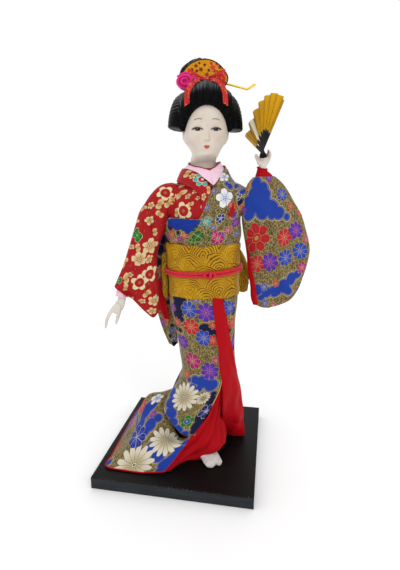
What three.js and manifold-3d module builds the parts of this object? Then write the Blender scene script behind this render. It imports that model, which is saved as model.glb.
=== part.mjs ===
// A standing Japanese display doll in kimono on a black board, about 305 mm tall.
// Units are millimetres, +Z up. The origin is the centre of the board's underside.
import * as THREE from 'three';
import { mergeVertices } from 'three/addons/utils/BufferGeometryUtils.js';
import Module from 'manifold-3d';

const wasm = await Module();
wasm.setup();

// ---------------------------------------------------------------- driving dimensions
const BOARD = 120;            // side of the square board
const BOARD_T = 9;            // board thickness
const DOLL_X = 15, DOLL_Y = 2; // where the doll's axis stands on the board
const DOLL_TURN = THREE.MathUtils.degToRad(10); // the doll is turned on its board
const HEAD_TURN = THREE.MathUtils.degToRad(3.5); // the face is turned a little further
const NECK = [0.4, 1.5];      // vertical axis of the neck peg, doll frame
const ROD_R = 1.5, ROD_HOLE_R = 1.8;
const WIRE_R = 1.1, WIRE_HOLE_R = 1.45;
const ARM_R = 4.2;            // padded arm
const GAP = 0.35;             // clearance between neighbouring pieces
const SHOULDER_R = [-26, 0, 206], SHOULDER_L = [24, 0, 206];
// folding fan
const FAN_PIVOT = [41.73, -14.86, 230.34]; // rivet's axis at the rear guard
const FAN_RADIUS = 38.8, LEAF_INNER = 16.8;
const FAN_RIBS = 8, FAN_STEP = THREE.MathUtils.degToRad(14.4);
const RIB_PITCH = 0.55, RIB_T = 0.25, LEAF_T = 0.12;
const FAN_E1 = [-0.2696, 0.8484, 0.4556], FAN_E2 = [0.2004, -0.4133, 0.8883]; // along the rear guard, and the way the fan opens

// ---------------------------------------------------------------- geometry helpers
const V = (x, y, z) => new THREE.Vector3(x, y, z);
const vec = (a) => new THREE.Vector3(a[0], a[1], a[2]);

function volumeOf(pos, idx) {
  let v = 0;
  const a = new THREE.Vector3(), b = new THREE.Vector3(), c = new THREE.Vector3();
  for (let i = 0; i < idx.length; i += 3) {
    a.fromArray(pos, idx[i] * 3); b.fromArray(pos, idx[i + 1] * 3); c.fromArray(pos, idx[i + 2] * 3);
    v += a.dot(b.clone().cross(c)) / 6;
  }
  return v;
}

function geometry(points, idx) {
  const pos = new Float32Array(points.length * 3);
  points.forEach((p, i) => pos.set([p.x, p.y, p.z], i * 3));
  if (volumeOf(pos, idx) < 0)
    for (let i = 0; i < idx.length; i += 3) [idx[i + 1], idx[i + 2]] = [idx[i + 2], idx[i + 1]];
  return new THREE.BufferGeometry()
    .setAttribute('position', new THREE.BufferAttribute(pos, 3))
    .setIndex(idx);
}

// Triangles of a ring's cap, as indices into the ring.
function capOf(ring) {
  const n = new THREE.Vector3();
  for (let i = 0; i < ring.length; i++) {
    const p = ring[i], q = ring[(i + 1) % ring.length];
    n.x += (p.y - q.y) * (p.z + q.z); n.y += (p.z - q.z) * (p.x + q.x); n.z += (p.x - q.x) * (p.y + q.y);
  }
  n.normalize();
  const u = (Math.abs(n.x) > 0.9 ? V(0, 1, 0) : V(1, 0, 0)).cross(n).normalize();
  const w = n.clone().cross(u);
  const flat = ring.map((p) => new THREE.Vector2(p.dot(u), p.dot(w)));
  return THREE.ShapeUtils.triangulateShape(flat, []);
}

// Closed solid through rings of the same number of points.
function loft(rings) {
  const n = rings[0].length, points = rings.flat(), idx = [];
  for (let i = 0; i < rings.length - 1; i++)
    for (let j = 0; j < n; j++) {
      const a = i * n + j, b = i * n + (j + 1) % n, c = a + n, d = b + n;
      idx.push(a, b, d, a, d, c);
    }
  for (const [a, b, c] of capOf(rings[0])) idx.push(c, b, a);
  const last = (rings.length - 1) * n;
  for (const [a, b, c] of capOf(rings[rings.length - 1])) idx.push(last + a, last + b, last + c);
  return geometry(points, idx);
}

// Closed tube wall between outer and inner rings, open at both ends.
function wall(outer, inner) {
  const n = outer[0].length, m = outer.length, points = [...outer.flat(), ...inner.flat()], idx = [];
  const o = (i, j) => i * n + (j % n), q = (i, j) => m * n + i * n + (j % n);
  for (let i = 0; i < m - 1; i++)
    for (let j = 0; j < n; j++) {
      idx.push(o(i, j), o(i, j + 1), o(i + 1, j + 1), o(i, j), o(i + 1, j + 1), o(i + 1, j));
      idx.push(q(i, j), q(i + 1, j + 1), q(i, j + 1), q(i, j), q(i + 1, j), q(i + 1, j + 1));
    }
  for (let j = 0; j < n; j++) {
    idx.push(q(0, j), q(0, j + 1), o(0, j + 1), q(0, j), o(0, j + 1), o(0, j));
    idx.push(o(m - 1, j), o(m - 1, j + 1), q(m - 1, j + 1), o(m - 1, j), q(m - 1, j + 1), q(m - 1, j));
  }
  return geometry(points, idx);
}

const ellipse = (cx, cy, z, a, b, n = 24) => Array.from({ length: n }, (_, j) => {
  const t = (2 * Math.PI * j) / n;
  return V(cx + a * Math.cos(t), cy + b * Math.sin(t), z);
});

// Part of an elliptical wall between two angles, as one closed ring.
function sector(cx, cy, z, a, b, a2, b2, from, to, n) {
  const ring = [];
  for (let j = 0; j <= n; j++) { const t = from + ((to - from) * j) / n; ring.push(V(cx + a2 * Math.cos(t), cy + b2 * Math.sin(t), z)); }
  for (let j = n; j >= 0; j--) { const t = from + ((to - from) * j) / n; ring.push(V(cx + a * Math.cos(t), cy + b * Math.sin(t), z)); }
  return ring;
}

// Rings square to a path through the given points; radius(t) gives [across, along up] half sizes.
function pathRings(pts, steps, radius, n = 10, up = V(0, 1, 0)) {
  const curve = new THREE.CatmullRomCurve3(pts.map(vec), false, 'centripetal');
  const rings = [];
  for (let i = 0; i <= steps; i++) {
    const t = i / steps, p = curve.getPointAt(t), d = curve.getTangentAt(t);
    const s = d.clone().cross(up).normalize(), w = s.clone().cross(d).normalize();
    const [a, b] = [].concat(radius(t)).length === 2 ? radius(t) : [radius(t), radius(t)];
    rings.push(Array.from({ length: n }, (_, j) => {
      const q = (2 * Math.PI * j) / n;
      return p.clone().addScaledVector(s, a * Math.cos(q)).addScaledVector(w, b * Math.sin(q));
    }));
  }
  return rings;
}
const rod = (pts, steps, r, n = 10) => loft(pathRings(pts, steps, () => r, n));

// Closed loop of rings, such as a cord tied round a waist.
function loop(centres, half, n = 8) {
  const m = centres.length, rings = [];
  for (let i = 0; i < m; i++) {
    const d = centres[(i + 1) % m].clone().sub(centres[(i + m - 1) % m]).normalize();
    const s = d.clone().cross(V(0, 0, 1)).normalize(), w = s.clone().cross(d).normalize();
    rings.push(Array.from({ length: n }, (_, j) => {
      const q = (2 * Math.PI * j) / n;
      return centres[i].clone().addScaledVector(s, half[0] * Math.cos(q)).addScaledVector(w, half[1] * Math.sin(q));
    }));
  }
  const idx = [];
  for (let i = 0; i < m; i++)
    for (let j = 0; j < n; j++) {
      const a = i * n + j, b = i * n + (j + 1) % n, c = ((i + 1) % m) * n + j, e = ((i + 1) % m) * n + (j + 1) % n;
      idx.push(a, b, e, a, e, c);
    }
  return geometry(rings.flat(), idx);
}

// Flat outline in XZ, from y0 to y1.
function slab(outline, y0, y1) {
  return loft([outline.map(([x, z]) => V(x, y0, z)), outline.map(([x, z]) => V(x, y1, z))]);
}
function ball(c, r, wide = 14, high = 8) {
  return new THREE.SphereGeometry(1, wide, high).rotateX(Math.PI / 2).scale(r[0], r[1], r[2]).translate(c[0], c[1], c[2]);
}

// ---------------------------------------------------------------- cutting and joining
function solid(g) {
  const bare = g.index ? g.clone() : g.clone();
  for (const k of Object.keys(bare.attributes)) if (k !== 'position') bare.deleteAttribute(k);
  const m = mergeVertices(bare, 1e-4);
  return new wasm.Manifold(new wasm.Mesh({
    numProp: 3,
    vertProperties: new Float32Array(m.attributes.position.array),
    triVerts: new Uint32Array(m.index.array),
  }));
}
function mesh(s) {
  const m = s.getMesh(), n = m.numProp, p = new Float32Array(m.numVert * 3);
  for (let i = 0; i < m.numVert; i++) p.set(m.vertProperties.subarray(i * n, i * n + 3), i * 3);
  return new THREE.BufferGeometry()
    .setAttribute('position', new THREE.BufferAttribute(p, 3))
    .setIndex(new THREE.BufferAttribute(new Uint32Array(m.triVerts), 1));
}
const cut = (g, ...tools) => mesh(tools.reduce((s, t) => s.subtract(solid(t)), solid(g)));
const join = (g, ...more) => mesh(more.reduce((s, t) => s.add(solid(t)), solid(g)));
// The largest piece of a cut, without the crumbs a curved tool can leave.
function main(g) {
  const all = solid(g).decompose().sort((a, b) => b.volume() - a.volume());
  return mesh(all[0]);
}

// ---------------------------------------------------------------- scene graph
const doll = new THREE.Group();
doll.position.set(DOLL_X, DOLL_Y, BOARD_T);
doll.rotation.z = DOLL_TURN;
const headGroup = new THREE.Group();
headGroup.position.set(NECK[0], NECK[1], 0);
headGroup.rotation.z = HEAD_TURN;
doll.add(headGroup);
const part = new THREE.Group();
part.add(doll);

function add(to, name, g, color, roughness = 0.8, metalness = 0) {
  const m = new THREE.Mesh(g, new THREE.MeshStandardMaterial({ color, roughness, metalness }));
  m.name = name;
  to.add(m);
  return m;
}
const toBoard = (x, y) => V(x, y, 0).applyAxisAngle(V(0, 0, 1), DOLL_TURN).add(V(DOLL_X, DOLL_Y, 0));

// ---------------------------------------------------------------- legs, rods and board
const RIGHT_ROD = [[-5, -8, -8], [-5, -8, 4], [-5.15, -7.7, 12], [-9, 0, 122], [-9.2, 0.4, 148]];
const LEFT_ROD = [[18, 26, -8], [18, 26, 4], [17.6, 24.9, 12], [10, 3, 122], [9.8, 2.4, 148]];
{
  const s = new THREE.Shape([new THREE.Vector2(-BOARD / 2, -BOARD / 2), new THREE.Vector2(BOARD / 2, -BOARD / 2),
    new THREE.Vector2(BOARD / 2, BOARD / 2), new THREE.Vector2(-BOARD / 2, BOARD / 2)]);
  for (const r of [RIGHT_ROD, LEFT_ROD]) {
    const c = toBoard(r[0][0], r[0][1]);
    s.holes.push(new THREE.Path().absarc(c.x, c.y, ROD_HOLE_R, 0, 2 * Math.PI, true));
  }
  add(part, 'base_board', new THREE.ExtrudeGeometry(s, { depth: BOARD_T, bevelEnabled: false, curveSegments: 7 }), 0x16171a, 0.55);
}
add(doll, 'right_leg_rod', rod(RIGHT_ROD, 10, ROD_R, 6), 0x9a9a9c, 0.4, 1);
add(doll, 'left_leg_rod', rod(LEFT_ROD, 10, ROD_R, 6), 0x9a9a9c, 0.4, 1);
const rodTool = (r) => rod([[r[0][0], r[0][1], -20], ...r.slice(0, 4), [r[4][0], r[4][1], 148.6]], 12, ROD_HOLE_R + 0.2, 6);

function leg(r) {
  const a = vec(r[2]).lerp(vec(r[3]), -0.018), b = vec(r[3]).lerp(vec(r[2]), 0.012);
  const at = [[0, 5.0], [0.12, 5.4], [0.34, 7.0], [0.55, 6.1], [0.78, 7.8], [1, 8.7]];
  const outer = at.map(([t, q]) => { const c = a.clone().lerp(b, t); return ellipse(c.x, c.y, c.z, q, q, 10); });
  const inner = at.map(([t]) => { const c = a.clone().lerp(b, t); return ellipse(c.x, c.y, c.z, 2.7, 2.7, 10); });
  return wall(outer, inner);
}
add(doll, 'right_leg', leg(RIGHT_ROD), 0xe8e2d8, 0.9);
add(doll, 'left_leg', leg(LEFT_ROD), 0xe8e2d8, 0.9);

function foot(heel, dir, length, r) {
  const d = V(dir[0], dir[1], 0).normalize(), side = V(d.y, -d.x, 0), rings = [];
  for (const [s, w, h] of [[0, 2.6, 6.4], [0.12, 4.4, 8.3], [0.34, 4.9, 8.4], [0.6, 6.2, 7.4], [0.82, 7.4, 5.8], [0.95, 6.0, 4.4], [1, 3.4, 2.8]]) {
    const c = V(heel[0], heel[1], 0).addScaledVector(d, s * length);
    rings.push([[-0.8, 0], [-1, 0.35], [-0.72, 0.8], [0, 1], [0.72, 0.8], [1, 0.35], [0.8, 0]].map(([u, v]) =>
      c.clone().addScaledVector(side, u * w).setZ(GAP + v * h)));
  }
  return main(cut(loft(rings), rodTool(r)));
}
add(doll, 'right_foot', foot([-7.1, -3.5], [0.392, -0.92], 37.2, RIGHT_ROD), 0xf4f2ee, 0.85);
add(doll, 'left_foot', foot([17.2, 32.2], [0.12, -0.993], 27, LEFT_ROD), 0xf4f2ee, 0.85);

// ---------------------------------------------------------------- body core
const TORSO = [[128, 20.5, 14], [140, 21.5, 14.5], [168, 21.5, 14.5], [185, 22, 14.5], [200, 21.5, 13.5], [210, 18.5, 11.5], [217, 12, 9.8], [221, 9.5, 8.5]];
function torsoAt(z) {
  for (let i = 1; i < TORSO.length; i++)
    if (z <= TORSO[i][0] || i === TORSO.length - 1) {
      const [z0, a0, b0] = TORSO[i - 1], [z1, a1, b1] = TORSO[i], t = Math.min(1, Math.max(0, (z - z0) / (z1 - z0)));
      return [a0 + (a1 - a0) * t, b0 + (b1 - b0) * t];
    }
}
const torso = (g) => loft(TORSO.map(([z, a, b]) => ellipse(0, 0.5, z, a + g, b + g, 20)));
const PEG = { r: 2.5, hole: 2.85, from: 198, to: 240 };
const peg = (r, z0, z1, c = [0, 0]) => new THREE.CylinderGeometry(r, r, z1 - z0, 14).rotateX(Math.PI / 2).translate(c[0], c[1], (z0 + z1) / 2);
const BAR = [[-20.5, 0.5, 206], [0, 6.5, 206], [18.5, 0.5, 206]];
{
  const core = torso(0);
  const barTool = rod([[-30, -2.4, 206], ...BAR, [30, -2.6, 206]], 10, WIRE_HOLE_R + 0.1, 6);
  add(doll, 'torso_core', main(cut(core, rodTool(RIGHT_ROD), rodTool(LEFT_ROD), peg(PEG.hole, PEG.from - 0.5, 230, NECK), barTool)), 0xcdbb94, 0.95);
  add(doll, 'shoulder_bar', rod(BAR, 8, WIRE_R, 6), 0x9a9a9c, 0.4, 1);
}

// ---------------------------------------------------------------- skirt of the outer kimono, with its train
const HEM = [[34, 8, 1.2], [33, 17, 1], [32, 26, 1], [29, 34, 1], [22, 39, 1], [13, 42, 1], [3, 43, 1], [-8, 44, 1], [-20, 46, 1], [-34, 50, 1], [-48, 53, 1], [-57, 53, 1],
  [-63, 40, 1], [-67.5, 19, 1], [-71.5, -8, 0.8], [-75, -34, 0.7], [-60, -41, 0.7], [-46, -44.5, 0.7], [-33, -44.5, 0.8], [-20, -33, 5.5], [-8, -24, 12], [6, -13, 12.5], [20, -1, 6], [31, 2, 2]];
const LOW = [[33.5, 8, 16], [33, 16, 16], [32, 24, 16], [28, 31, 16], [21, 36, 16], [12, 39, 16], [3, 39, 16], [-8, 39.5, 16], [-18, 40, 15.5], [-29, 40.5, 15], [-40, 40, 14], [-49, 37, 13],
  [-54, 27, 13], [-57, 11, 12], [-58.5, -9, 11], [-57, -27, 10], [-47, -34, 11], [-38, -37, 12], [-29, -36.5, 14], [-19, -30, 19], [-8, -23.5, 24], [6, -14, 25], [20, -3, 20], [30.5, 2, 17]];
const MID = [[31.5, 8, 36], [31, 15, 36], [30, 22, 36], [26, 29, 36], [19, 33.5, 36], [10, 36, 36], [1, 36, 36], [-7, 35, 35], [-15, 32.5, 34], [-22, 29, 33], [-28, 24, 32], [-33, 17, 31],
  [-36, 9, 30], [-37, 0, 29], [-36.5, -9, 28], [-34, -18, 28], [-29, -24, 29], [-23, -27.5, 30], [-15, -28, 33], [-7, -25, 36], [2, -20, 38], [11, -14, 38], [21, -6.5, 37], [29, 1, 36]];
const SKIRT = [[58, 3, 4.5, 25, 25], [80, 4.1, 3, 22.6, 21], [105, 2.2, 1.5, 25, 20.5], [119, 0.6, 1, 27, 20], [125.5, 0, 0.6, 26.4, 19], [128.2, -0.2, 0.5, 23.4, 16.3], [145, -0.2, 0.5, 23.3, 16.2]];
const skirtBase = [HEM, LOW, MID].map((r) => r.map(vec)).concat(SKIRT.map(([z, cx, cy, a, b]) => ellipse(cx, cy, z, a, b, 24)));
// Each ring moved outwards by g, in plan.
function grown(rings, g) {
  return rings.map((ring) => ring.map((p, j) => {
    const q = ring[(j + 1) % ring.length], r = ring[(j + ring.length - 1) % ring.length];
    const t = V(q.x - r.x, q.y - r.y, 0).normalize();
    return V(p.x + t.y * g, p.y - t.x * g, p.z);
  }));
}
const skirtSolid = (g, drop = 0) => loft(grown(drop ? [skirtBase[0].map((p) => V(p.x, p.y, p.z - drop)), ...skirtBase] : skirtBase, g));
add(doll, 'kimono_skirt', wall(skirtBase, grown(skirtBase, -1.2)), 0x2346a8, 0.8);
{
  const strip = slab([[5.7, 125], [13, 125], [16.8, 110], [21.3, 87], [27, 63], [32, 40], [39, 1.5], [13, 1.5], [12.6, 42], [12.2, 64], [10.2, 88], [7.4, 112]], -40, 3.4);
  add(doll, 'skirt_lining_panel', main(mesh(solid(skirtSolid(1.8)).subtract(solid(skirtSolid(0.6, 8))).intersect(solid(strip)))), 0xc01c26, 0.85);
  const hemBox = slab([[-16, 13], [17, 13], [14, 62], [-6, 62]], -40, 5);
  add(doll, 'under_robe_hem', main(mesh(solid(skirtSolid(-1.6)).subtract(solid(skirtSolid(-2.8, 8))).intersect(solid(hemBox)))), 0xc01c26, 0.85);
}

// ---------------------------------------------------------------- bodices, collar
const BODICE = [[152, 0.7, 1.8], [169.3, 0.7, 1.8], [173.5, 2.2, 3.8], [185, 2.6, 4.3], [200, 2.6, 4.3], [210, 2.6, 4.2], [217, 2.6, 4.2], [219.5, 2.6, 4.2]];
const frontEdge = (z) => THREE.MathUtils.degToRad(-118 + (38 * (z - 152)) / 68); // the left front laps over the right
const COLLAR = [[217.5, 12.2, 10.8], [221.5, 10.9, 10.4], [226, 10.9, 10.4]]; // height, inner half width, inner half depth
const collarTool = loft([[215, 13.4, 12], ...COLLAR].map(([z, a, b]) => ellipse(0.4, 2.2, z, a + 1.7, b + 1.7, 20)));
function bodice(side) {
  const rings = BODICE.map(([z, g0, g1]) => {
    const [a, b] = torsoAt(z), f = frontEdge(z), back = THREE.MathUtils.degToRad(90);
    const [from, to] = side > 0 ? [f, back - 0.02] : [back + 0.02, f + 2 * Math.PI - 0.03];
    return sector(0, 0.5, z, a + g0, b + g0, a + g1, b + g1, from, to, 10);
  });
  const arm = side > 0 ? SHOULDER_L : SHOULDER_R;
  return main(cut(loft(rings), ball(arm, [10.5, 10.5, 10.5], 14, 8), collarTool));
}
add(doll, 'under_kimono_bodice', bodice(-1), 0xc21f24, 0.8);
add(doll, 'outer_kimono_bodice', bodice(1), 0x8d7c4a, 0.8);
{
  const rings = COLLAR.map(([z, a, b]) =>
    sector(0.4, 2.2, z, a, b, a + 1.3, b + 1.3, THREE.MathUtils.degToRad(-62), THREE.MathUtils.degToRad(236), 14));
  add(doll, 'inner_collar', main(cut(loft(rings), torso(GAP))), 0xeda3c8, 0.7);
}

// ---------------------------------------------------------------- obi, its cord and bow
{
  const outer = [[129, -0.1, 0.5, 26.9, 19.2], [141, -0.5, 0.5, 27.4, 19.4], [155, -0.9, 0.5, 28, 19.6], [169, -1, 0.5, 28.4, 19.6]];
  const ring = (g) => outer.map(([z, cx, cy, a, b]) => ellipse(cx, cy, z, a + g, b + g, 24));
  const inner = outer.map(([z]) => ellipse(-0.1, 0.5, z, 24.3, 17.1, 24));
  add(doll, 'obi_sash', wall(ring(0), inner), 0xd9a520, 0.6);
  const centres = Array.from({ length: 24 }, (_, j) => {
    const t = (2 * Math.PI * j) / 24, dip = 3.2 * Math.cos(t) - Math.max(0, -Math.sin(t)) ** 2;
    return V(-0.7 + 29.5 * Math.cos(t), 0.5 + 21.2 * Math.sin(t), 149 + dip);
  });
  add(doll, 'obi_cord', join(loop(centres, [1.15, 2], 6), ball([3.5, -21.4, 148.4], [4.4, 1.8, 2.7], 10, 6)), 0xe0202e, 0.6);
  const wings = [[-8, 161], [-31, 160], [-36, 150], [-39, 121], [-30, 120], [-9, 135], [9, 135], [30, 122], [38.5, 123.5], [34, 150], [29.5, 160], [8, 161]];
  add(doll, 'obi_bow_wings', slab(wings, 23.6, 31.5), 0xd9a520, 0.6);
  add(doll, 'obi_bow_band', slab([[-8.6, 131], [8.6, 131], [8.6, 165], [-8.6, 165]], 31.9, 35), 0xd9a520, 0.6);
}
add(doll, 'hanging_sleeve', slab([[-44, 158], [-32.5, 160], [-29.5, 135], [-27.5, 108], [-26.5, 83], [-33, 80.5], [-39, 108]], 8, 13), 0x2346a8, 0.8);

// Frame of one rib: x along it, z towards the front guard. The fan opens from the rear guard through negative y.
const fanAxis = vec(FAN_E2).cross(vec(FAN_E1)).normalize();
function ribFrame(k) {
  const x = vec(FAN_E1).normalize().applyAxisAngle(fanAxis, -k * FAN_STEP);
  return new THREE.Matrix4().makeBasis(x, fanAxis.clone().cross(x), fanAxis).setPosition(vec(FAN_PIVOT).addScaledVector(fanAxis, k * RIB_PITCH));
}

// ---------------------------------------------------------------- arms, sleeves, cuffs and hands
const ARM_RIGHT = [[-27.4, 0, 204.6], [-39, -2, 190], [-52, -5, 160], [-62, -9, 137]];
const ARM_LEFT = [[25.4, 0, 205.6], [45, -1, 196], [64, -2, 187.5], [66, -3.2, 190.5], [56, -5.5, 201.5], [41.4, -9, 218]];
const HAND_PEG_R = [[-62, -9, 137], [-63.5, -9.8, 131.2], [-65.2, -10.7, 125]];
const HAND_PEG_L = [[41.4, -9, 218], [40.9, -9.2, 221.5], [41.9, -9.6, 228]];
// One polyline per arm, shared by the wire, the padding and the channel in the sleeve.
function armLine(arm, handPeg, steps) {
  const c = new THREE.CatmullRomCurve3([...arm.slice(0, -1), ...handPeg].map(vec), false, 'centripetal');
  const pts = c.getSpacedPoints(steps), wrist = vec(arm[arm.length - 1]);
  let k = 0;
  pts.forEach((p, i) => { if (p.distanceTo(wrist) < pts[k].distanceTo(wrist)) k = i; });
  return { pts, wrist: k };
}
function lineRings(pts, r, n, before = 0, after = 0) {
  return pts.map((p, i) => {
    const d = pts[Math.min(i + 1, pts.length - 1)].clone().sub(pts[Math.max(i - 1, 0)]).normalize();
    const s = d.clone().cross(V(0, 1, 0)).normalize(), w = s.clone().cross(d).normalize();
    const c = p.clone().addScaledVector(d, i === 0 ? -before : i === pts.length - 1 ? after : 0);
    return Array.from({ length: n }, (_, j) => c.clone().addScaledVector(s, r * Math.cos((2 * Math.PI * j) / n)).addScaledVector(w, r * Math.sin((2 * Math.PI * j) / n)));
  });
}
const LINE_R = armLine(ARM_RIGHT, HAND_PEG_R, 16), LINE_L = armLine(ARM_LEFT, HAND_PEG_L, 24);
const armWire = (l, g = 0) => loft(lineRings(l.pts, WIRE_R + g, 6, 0, g));
const padding = (l) => wall(lineRings(l.pts.slice(0, l.wrist + 1), ARM_R, 8), lineRings(l.pts.slice(0, l.wrist + 1), WIRE_R + 0.6, 8));
const armTool = (l, g) => loft(lineRings(l.pts.slice(0, l.wrist + 1), ARM_R + g, 8, 6, g));
add(doll, 'right_arm_wire', armWire(LINE_R), 0x9a9a9c, 0.4, 1);
add(doll, 'left_arm_wire', armWire(LINE_L), 0x9a9a9c, 0.4, 1);
add(doll, 'right_arm_padding', padding(LINE_R), 0xe8e2d8, 0.9);
add(doll, 'left_arm_padding', padding(LINE_L), 0xe8e2d8, 0.9);

const CUFF_R = [[-59.4, -7.9, 143.5], [-61.9, -9, 137], [-63.9, -10, 130.2]];
const CUFF_L = [[45.6, -7.9, 213], [42.6, -8.7, 217], [41.0, -9.1, 222.4]];
const cuffTool = (c) => loft(pathRings([vec(c[0]).lerp(vec(c[1]), -0.4).toArray(), ...c, vec(c[2]).lerp(vec(c[1]), -0.8).toArray()], 10, () => 5.9, 10));
add(doll, 'right_cuff', wall(pathRings(CUFF_R, 4, () => 5.5, 10), pathRings(CUFF_R, 4, () => 4.75, 10)), 0xf0b6d2, 0.7);
add(doll, 'left_cuff', main(cut(wall(pathRings(CUFF_L, 4, () => 5.6, 10), pathRings(CUFF_L, 4, () => 4.75, 10)), armTool(LINE_L, 0.2))), 0xcc2030, 0.8);
{
  const right = [[-31, 210], [-34.5, 210], [-40.5, 204], [-46.5, 197], [-57, 168], [-68.4, 139.5], [-59.6, 131.6], [-52, 124], [-45.5, 113.5], [-41, 110.5], [-38, 112], [-37.6, 150], [-37, 172], [-35.5, 189], [-30.5, 197]];
  add(doll, 'right_sleeve', main(cut(slab(right, -12.5, 3), armTool(LINE_R, GAP), cuffTool(CUFF_R), armWire(LINE_R, GAP))), 0xc21f24, 0.8);
  const left = [[28.5, 209.5], [31.5, 208.5], [35.8, 215.6], [45.6, 214], [58.6, 204.5], [71, 189], [78.5, 173], [81.7, 162], [80, 148], [76.6, 136.5], [65.5, 123.6], [50.3, 119.4], [40.4, 122.6], [37, 142], [34, 172], [33, 188], [28.5, 198]];
  add(doll, 'left_sleeve', main(cut(slab(left, -12.5, 4), armTool(LINE_L, GAP), cuffTool(CUFF_L), armWire(LINE_L, GAP))), 0x2346a8, 0.8);
}
{
  const r = [[-63.9, -10.0, 129.8], [-64.9, -10.4, 126], [-67.6, -11.2, 119.5], [-71.4, -11.8, 112.5], [-76.9, -12, 102.8]];
  const palm = loft(pathRings(r, 8, (t) => [[2.5, 2.4], [2.7, 2.5], [3.3, 2.6], [4.2, 2.5], [4.4, 2.2], [3.8, 2.0], [3.1, 1.7], [2.2, 1.3], [0.9, 0.7]][Math.round(t * 8)], 10));
  const thumb = loft(pathRings([[-67.4, -11.2, 119.5], [-66.4, -11.4, 114], [-68.2, -11.6, 107.2]], 4, (t) => 1.7 - 0.9 * t, 8));
  add(doll, 'right_hand', main(cut(join(palm, thumb), armWire(LINE_R, GAP))), 0xe9dfd6, 0.5);
  const l = [[40.9, -9.2, 222.6], [41, -9.3, 226], [41.2, -9.4, 229], [41.4, -9.4, 231.6]];
  const palmL = loft(pathRings(l, 6, (t) => [[2.5, 2.3], [2.8, 2.3], [3.4, 2.5], [4.0, 2.6], [4.2, 2.6], [3.7, 2.3], [2.2, 1.4]][Math.round(t * 6)], 10));
  const fingers = loft(pathRings([[43.4, -9.2, 226.5], [44.6, -9.4, 231], [44.4, -11.6, 234.4], [42.8, -14.4, 234.8]], 5, (t) => 1.7 - 0.5 * t, 8));
  const thumbL = loft(pathRings([[38.8, -10.2, 225.5], [36.8, -11.6, 229], [35.9, -13.6, 232.2]], 4, (t) => 1.6 - 0.5 * t, 8));
  // the fan passes between the thumb and the fingers
  const fanSpace = new THREE.BoxGeometry(54, 48, FAN_RIBS * RIB_PITCH + 0.5).translate(20, -22.2, (FAN_RIBS * RIB_PITCH) / 2).applyMatrix4(ribFrame(0));
  add(doll, 'left_hand', main(cut(join(palmL, fingers, thumbL), armWire(LINE_L, GAP), fanSpace)), 0xe9dfd6, 0.5);
}

// ---------------------------------------------------------------- head and wig, in the head's own turned frame
// Each row: height, centre x and y, half width, half depth.
const SKULL = [[222, 0, 1.2, 9.2, 8.8], [226, 0, 0.6, 9.0, 8.8], [229.2, 0, -1.6, 9.2, 11.0], [231.5, 0, -1.8, 9.6, 12.6], [235, 0, -1.0, 11.0, 14.6], [240, 0, -0.5, 14.8, 16.2], [247, 0, 0, 16.4, 17.4],
  [254, 0, 0.2, 16.4, 17.8], [262, 0, 0.6, 15.2, 16.8], [268, 0, 1.2, 12.2, 13.6], [272, 0, 1.2, 7.6, 8.6], [274.3, 0, 1.2, 2.2, 2.6]];
const skull = (g) => loft(SKULL.map(([z, x, y, a, b], i) => ellipse(x, y, z + (i === SKULL.length - 1 ? g : 0), a + g, b + g, 16)));
add(headGroup, 'neck_peg', peg(PEG.r, PEG.from, PEG.to), 0xb88a55, 0.8);
add(headGroup, 'head', main(cut(skull(0), peg(PEG.r + 0.3, 210, PEG.to + 0.4))), 0xeee6dc, 0.45);
const ROLL = [[-16.4, -3.5, 257], [-13.4, -8, 266], [-7.5, -10.4, 270], [0, -11, 271], [7.5, -10.4, 270], [13.4, -8, 266], [16.4, -3.5, 257]];
const roll = (g) => loft(pathRings(ROLL, 10, (t) => 5.2 + 2.1 * Math.sin(Math.PI * t) + g, 8, V(0, 1, 0.3)));
const WING = [[247.5, 20.2, 1.5, 6.4, 8.6], [252, 20.4, 1.5, 6.6, 10.2], [258, 19.4, 2, 7.0, 11.2], [265, 16.4, 2.5, 6.6, 11.2], [271, 11, 2.5, 5.2, 9], [274, 8, 2.5, 2.8, 5.6]];
const wing = (s, g) => loft(WING.map(([z, x, y, a, b]) => ellipse(s * x, y, z, a + g, b + g, 12)));
const back = (g) => ball([0, 13.5, 250], [14.5 + g, 11 + g, 17 + g]);
const bun = (g) => ball([-1, 7.5, 286.3], [15.2 + g, 8.6 + g, 13 + g]);
const PIN = [[-5, 2.5, 284.2], [13.2, 2.5, 279.9], [29.2, 2.5, 276.2], [34.6, 2.5, 279.4]];
const pin = (r) => join(rod([PIN[0], PIN[2]], 1, r, 6), rod([PIN[2], PIN[3]], 1, r * 0.9, 6), ball(PIN[2], [r, r, r], 6, 4));
const crown = (g) => loft([-1, 1].map((s) => Array.from({ length: 15 }, (_, j) => {
  const t = (Math.PI * j) / 14;
  return V(-0.9 + (15.8 + g) * Math.cos(t), -4.2 + s * (1 + g) + 0.12 * 17 * Math.sin(t), 278.6 - g + (17 + 2 * g) * Math.sin(t));
})));
const rollG = roll(GAP);
add(headGroup, 'hair_front_roll', main(cut(roll(0), skull(GAP))), 0x101012, 0.45);
add(headGroup, 'hair_right_wing', main(cut(wing(-1, 0), skull(GAP), rollG)), 0x101012, 0.45);
add(headGroup, 'hair_left_wing', main(cut(wing(1, 0), skull(GAP), rollG)), 0x101012, 0.45);
add(headGroup, 'hair_back', main(cut(back(0), skull(GAP), wing(1, GAP), wing(-1, GAP), rollG)), 0x101012, 0.45);
add(headGroup, 'hair_bun', main(cut(bun(0), skull(GAP), rollG, wing(1, GAP), wing(-1, GAP), back(GAP), pin(1.05))), 0x101012, 0.45);
add(headGroup, 'hairpin', main(cut(pin(0.7), wing(1, GAP), wing(-1, GAP), skull(GAP), rollG)), 0xe2b52c, 0.35, 0.8);
add(headGroup, 'crown_comb', main(cut(crown(0), bun(GAP), rollG, pin(1.05))), 0xdba32a, 0.5);
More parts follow.
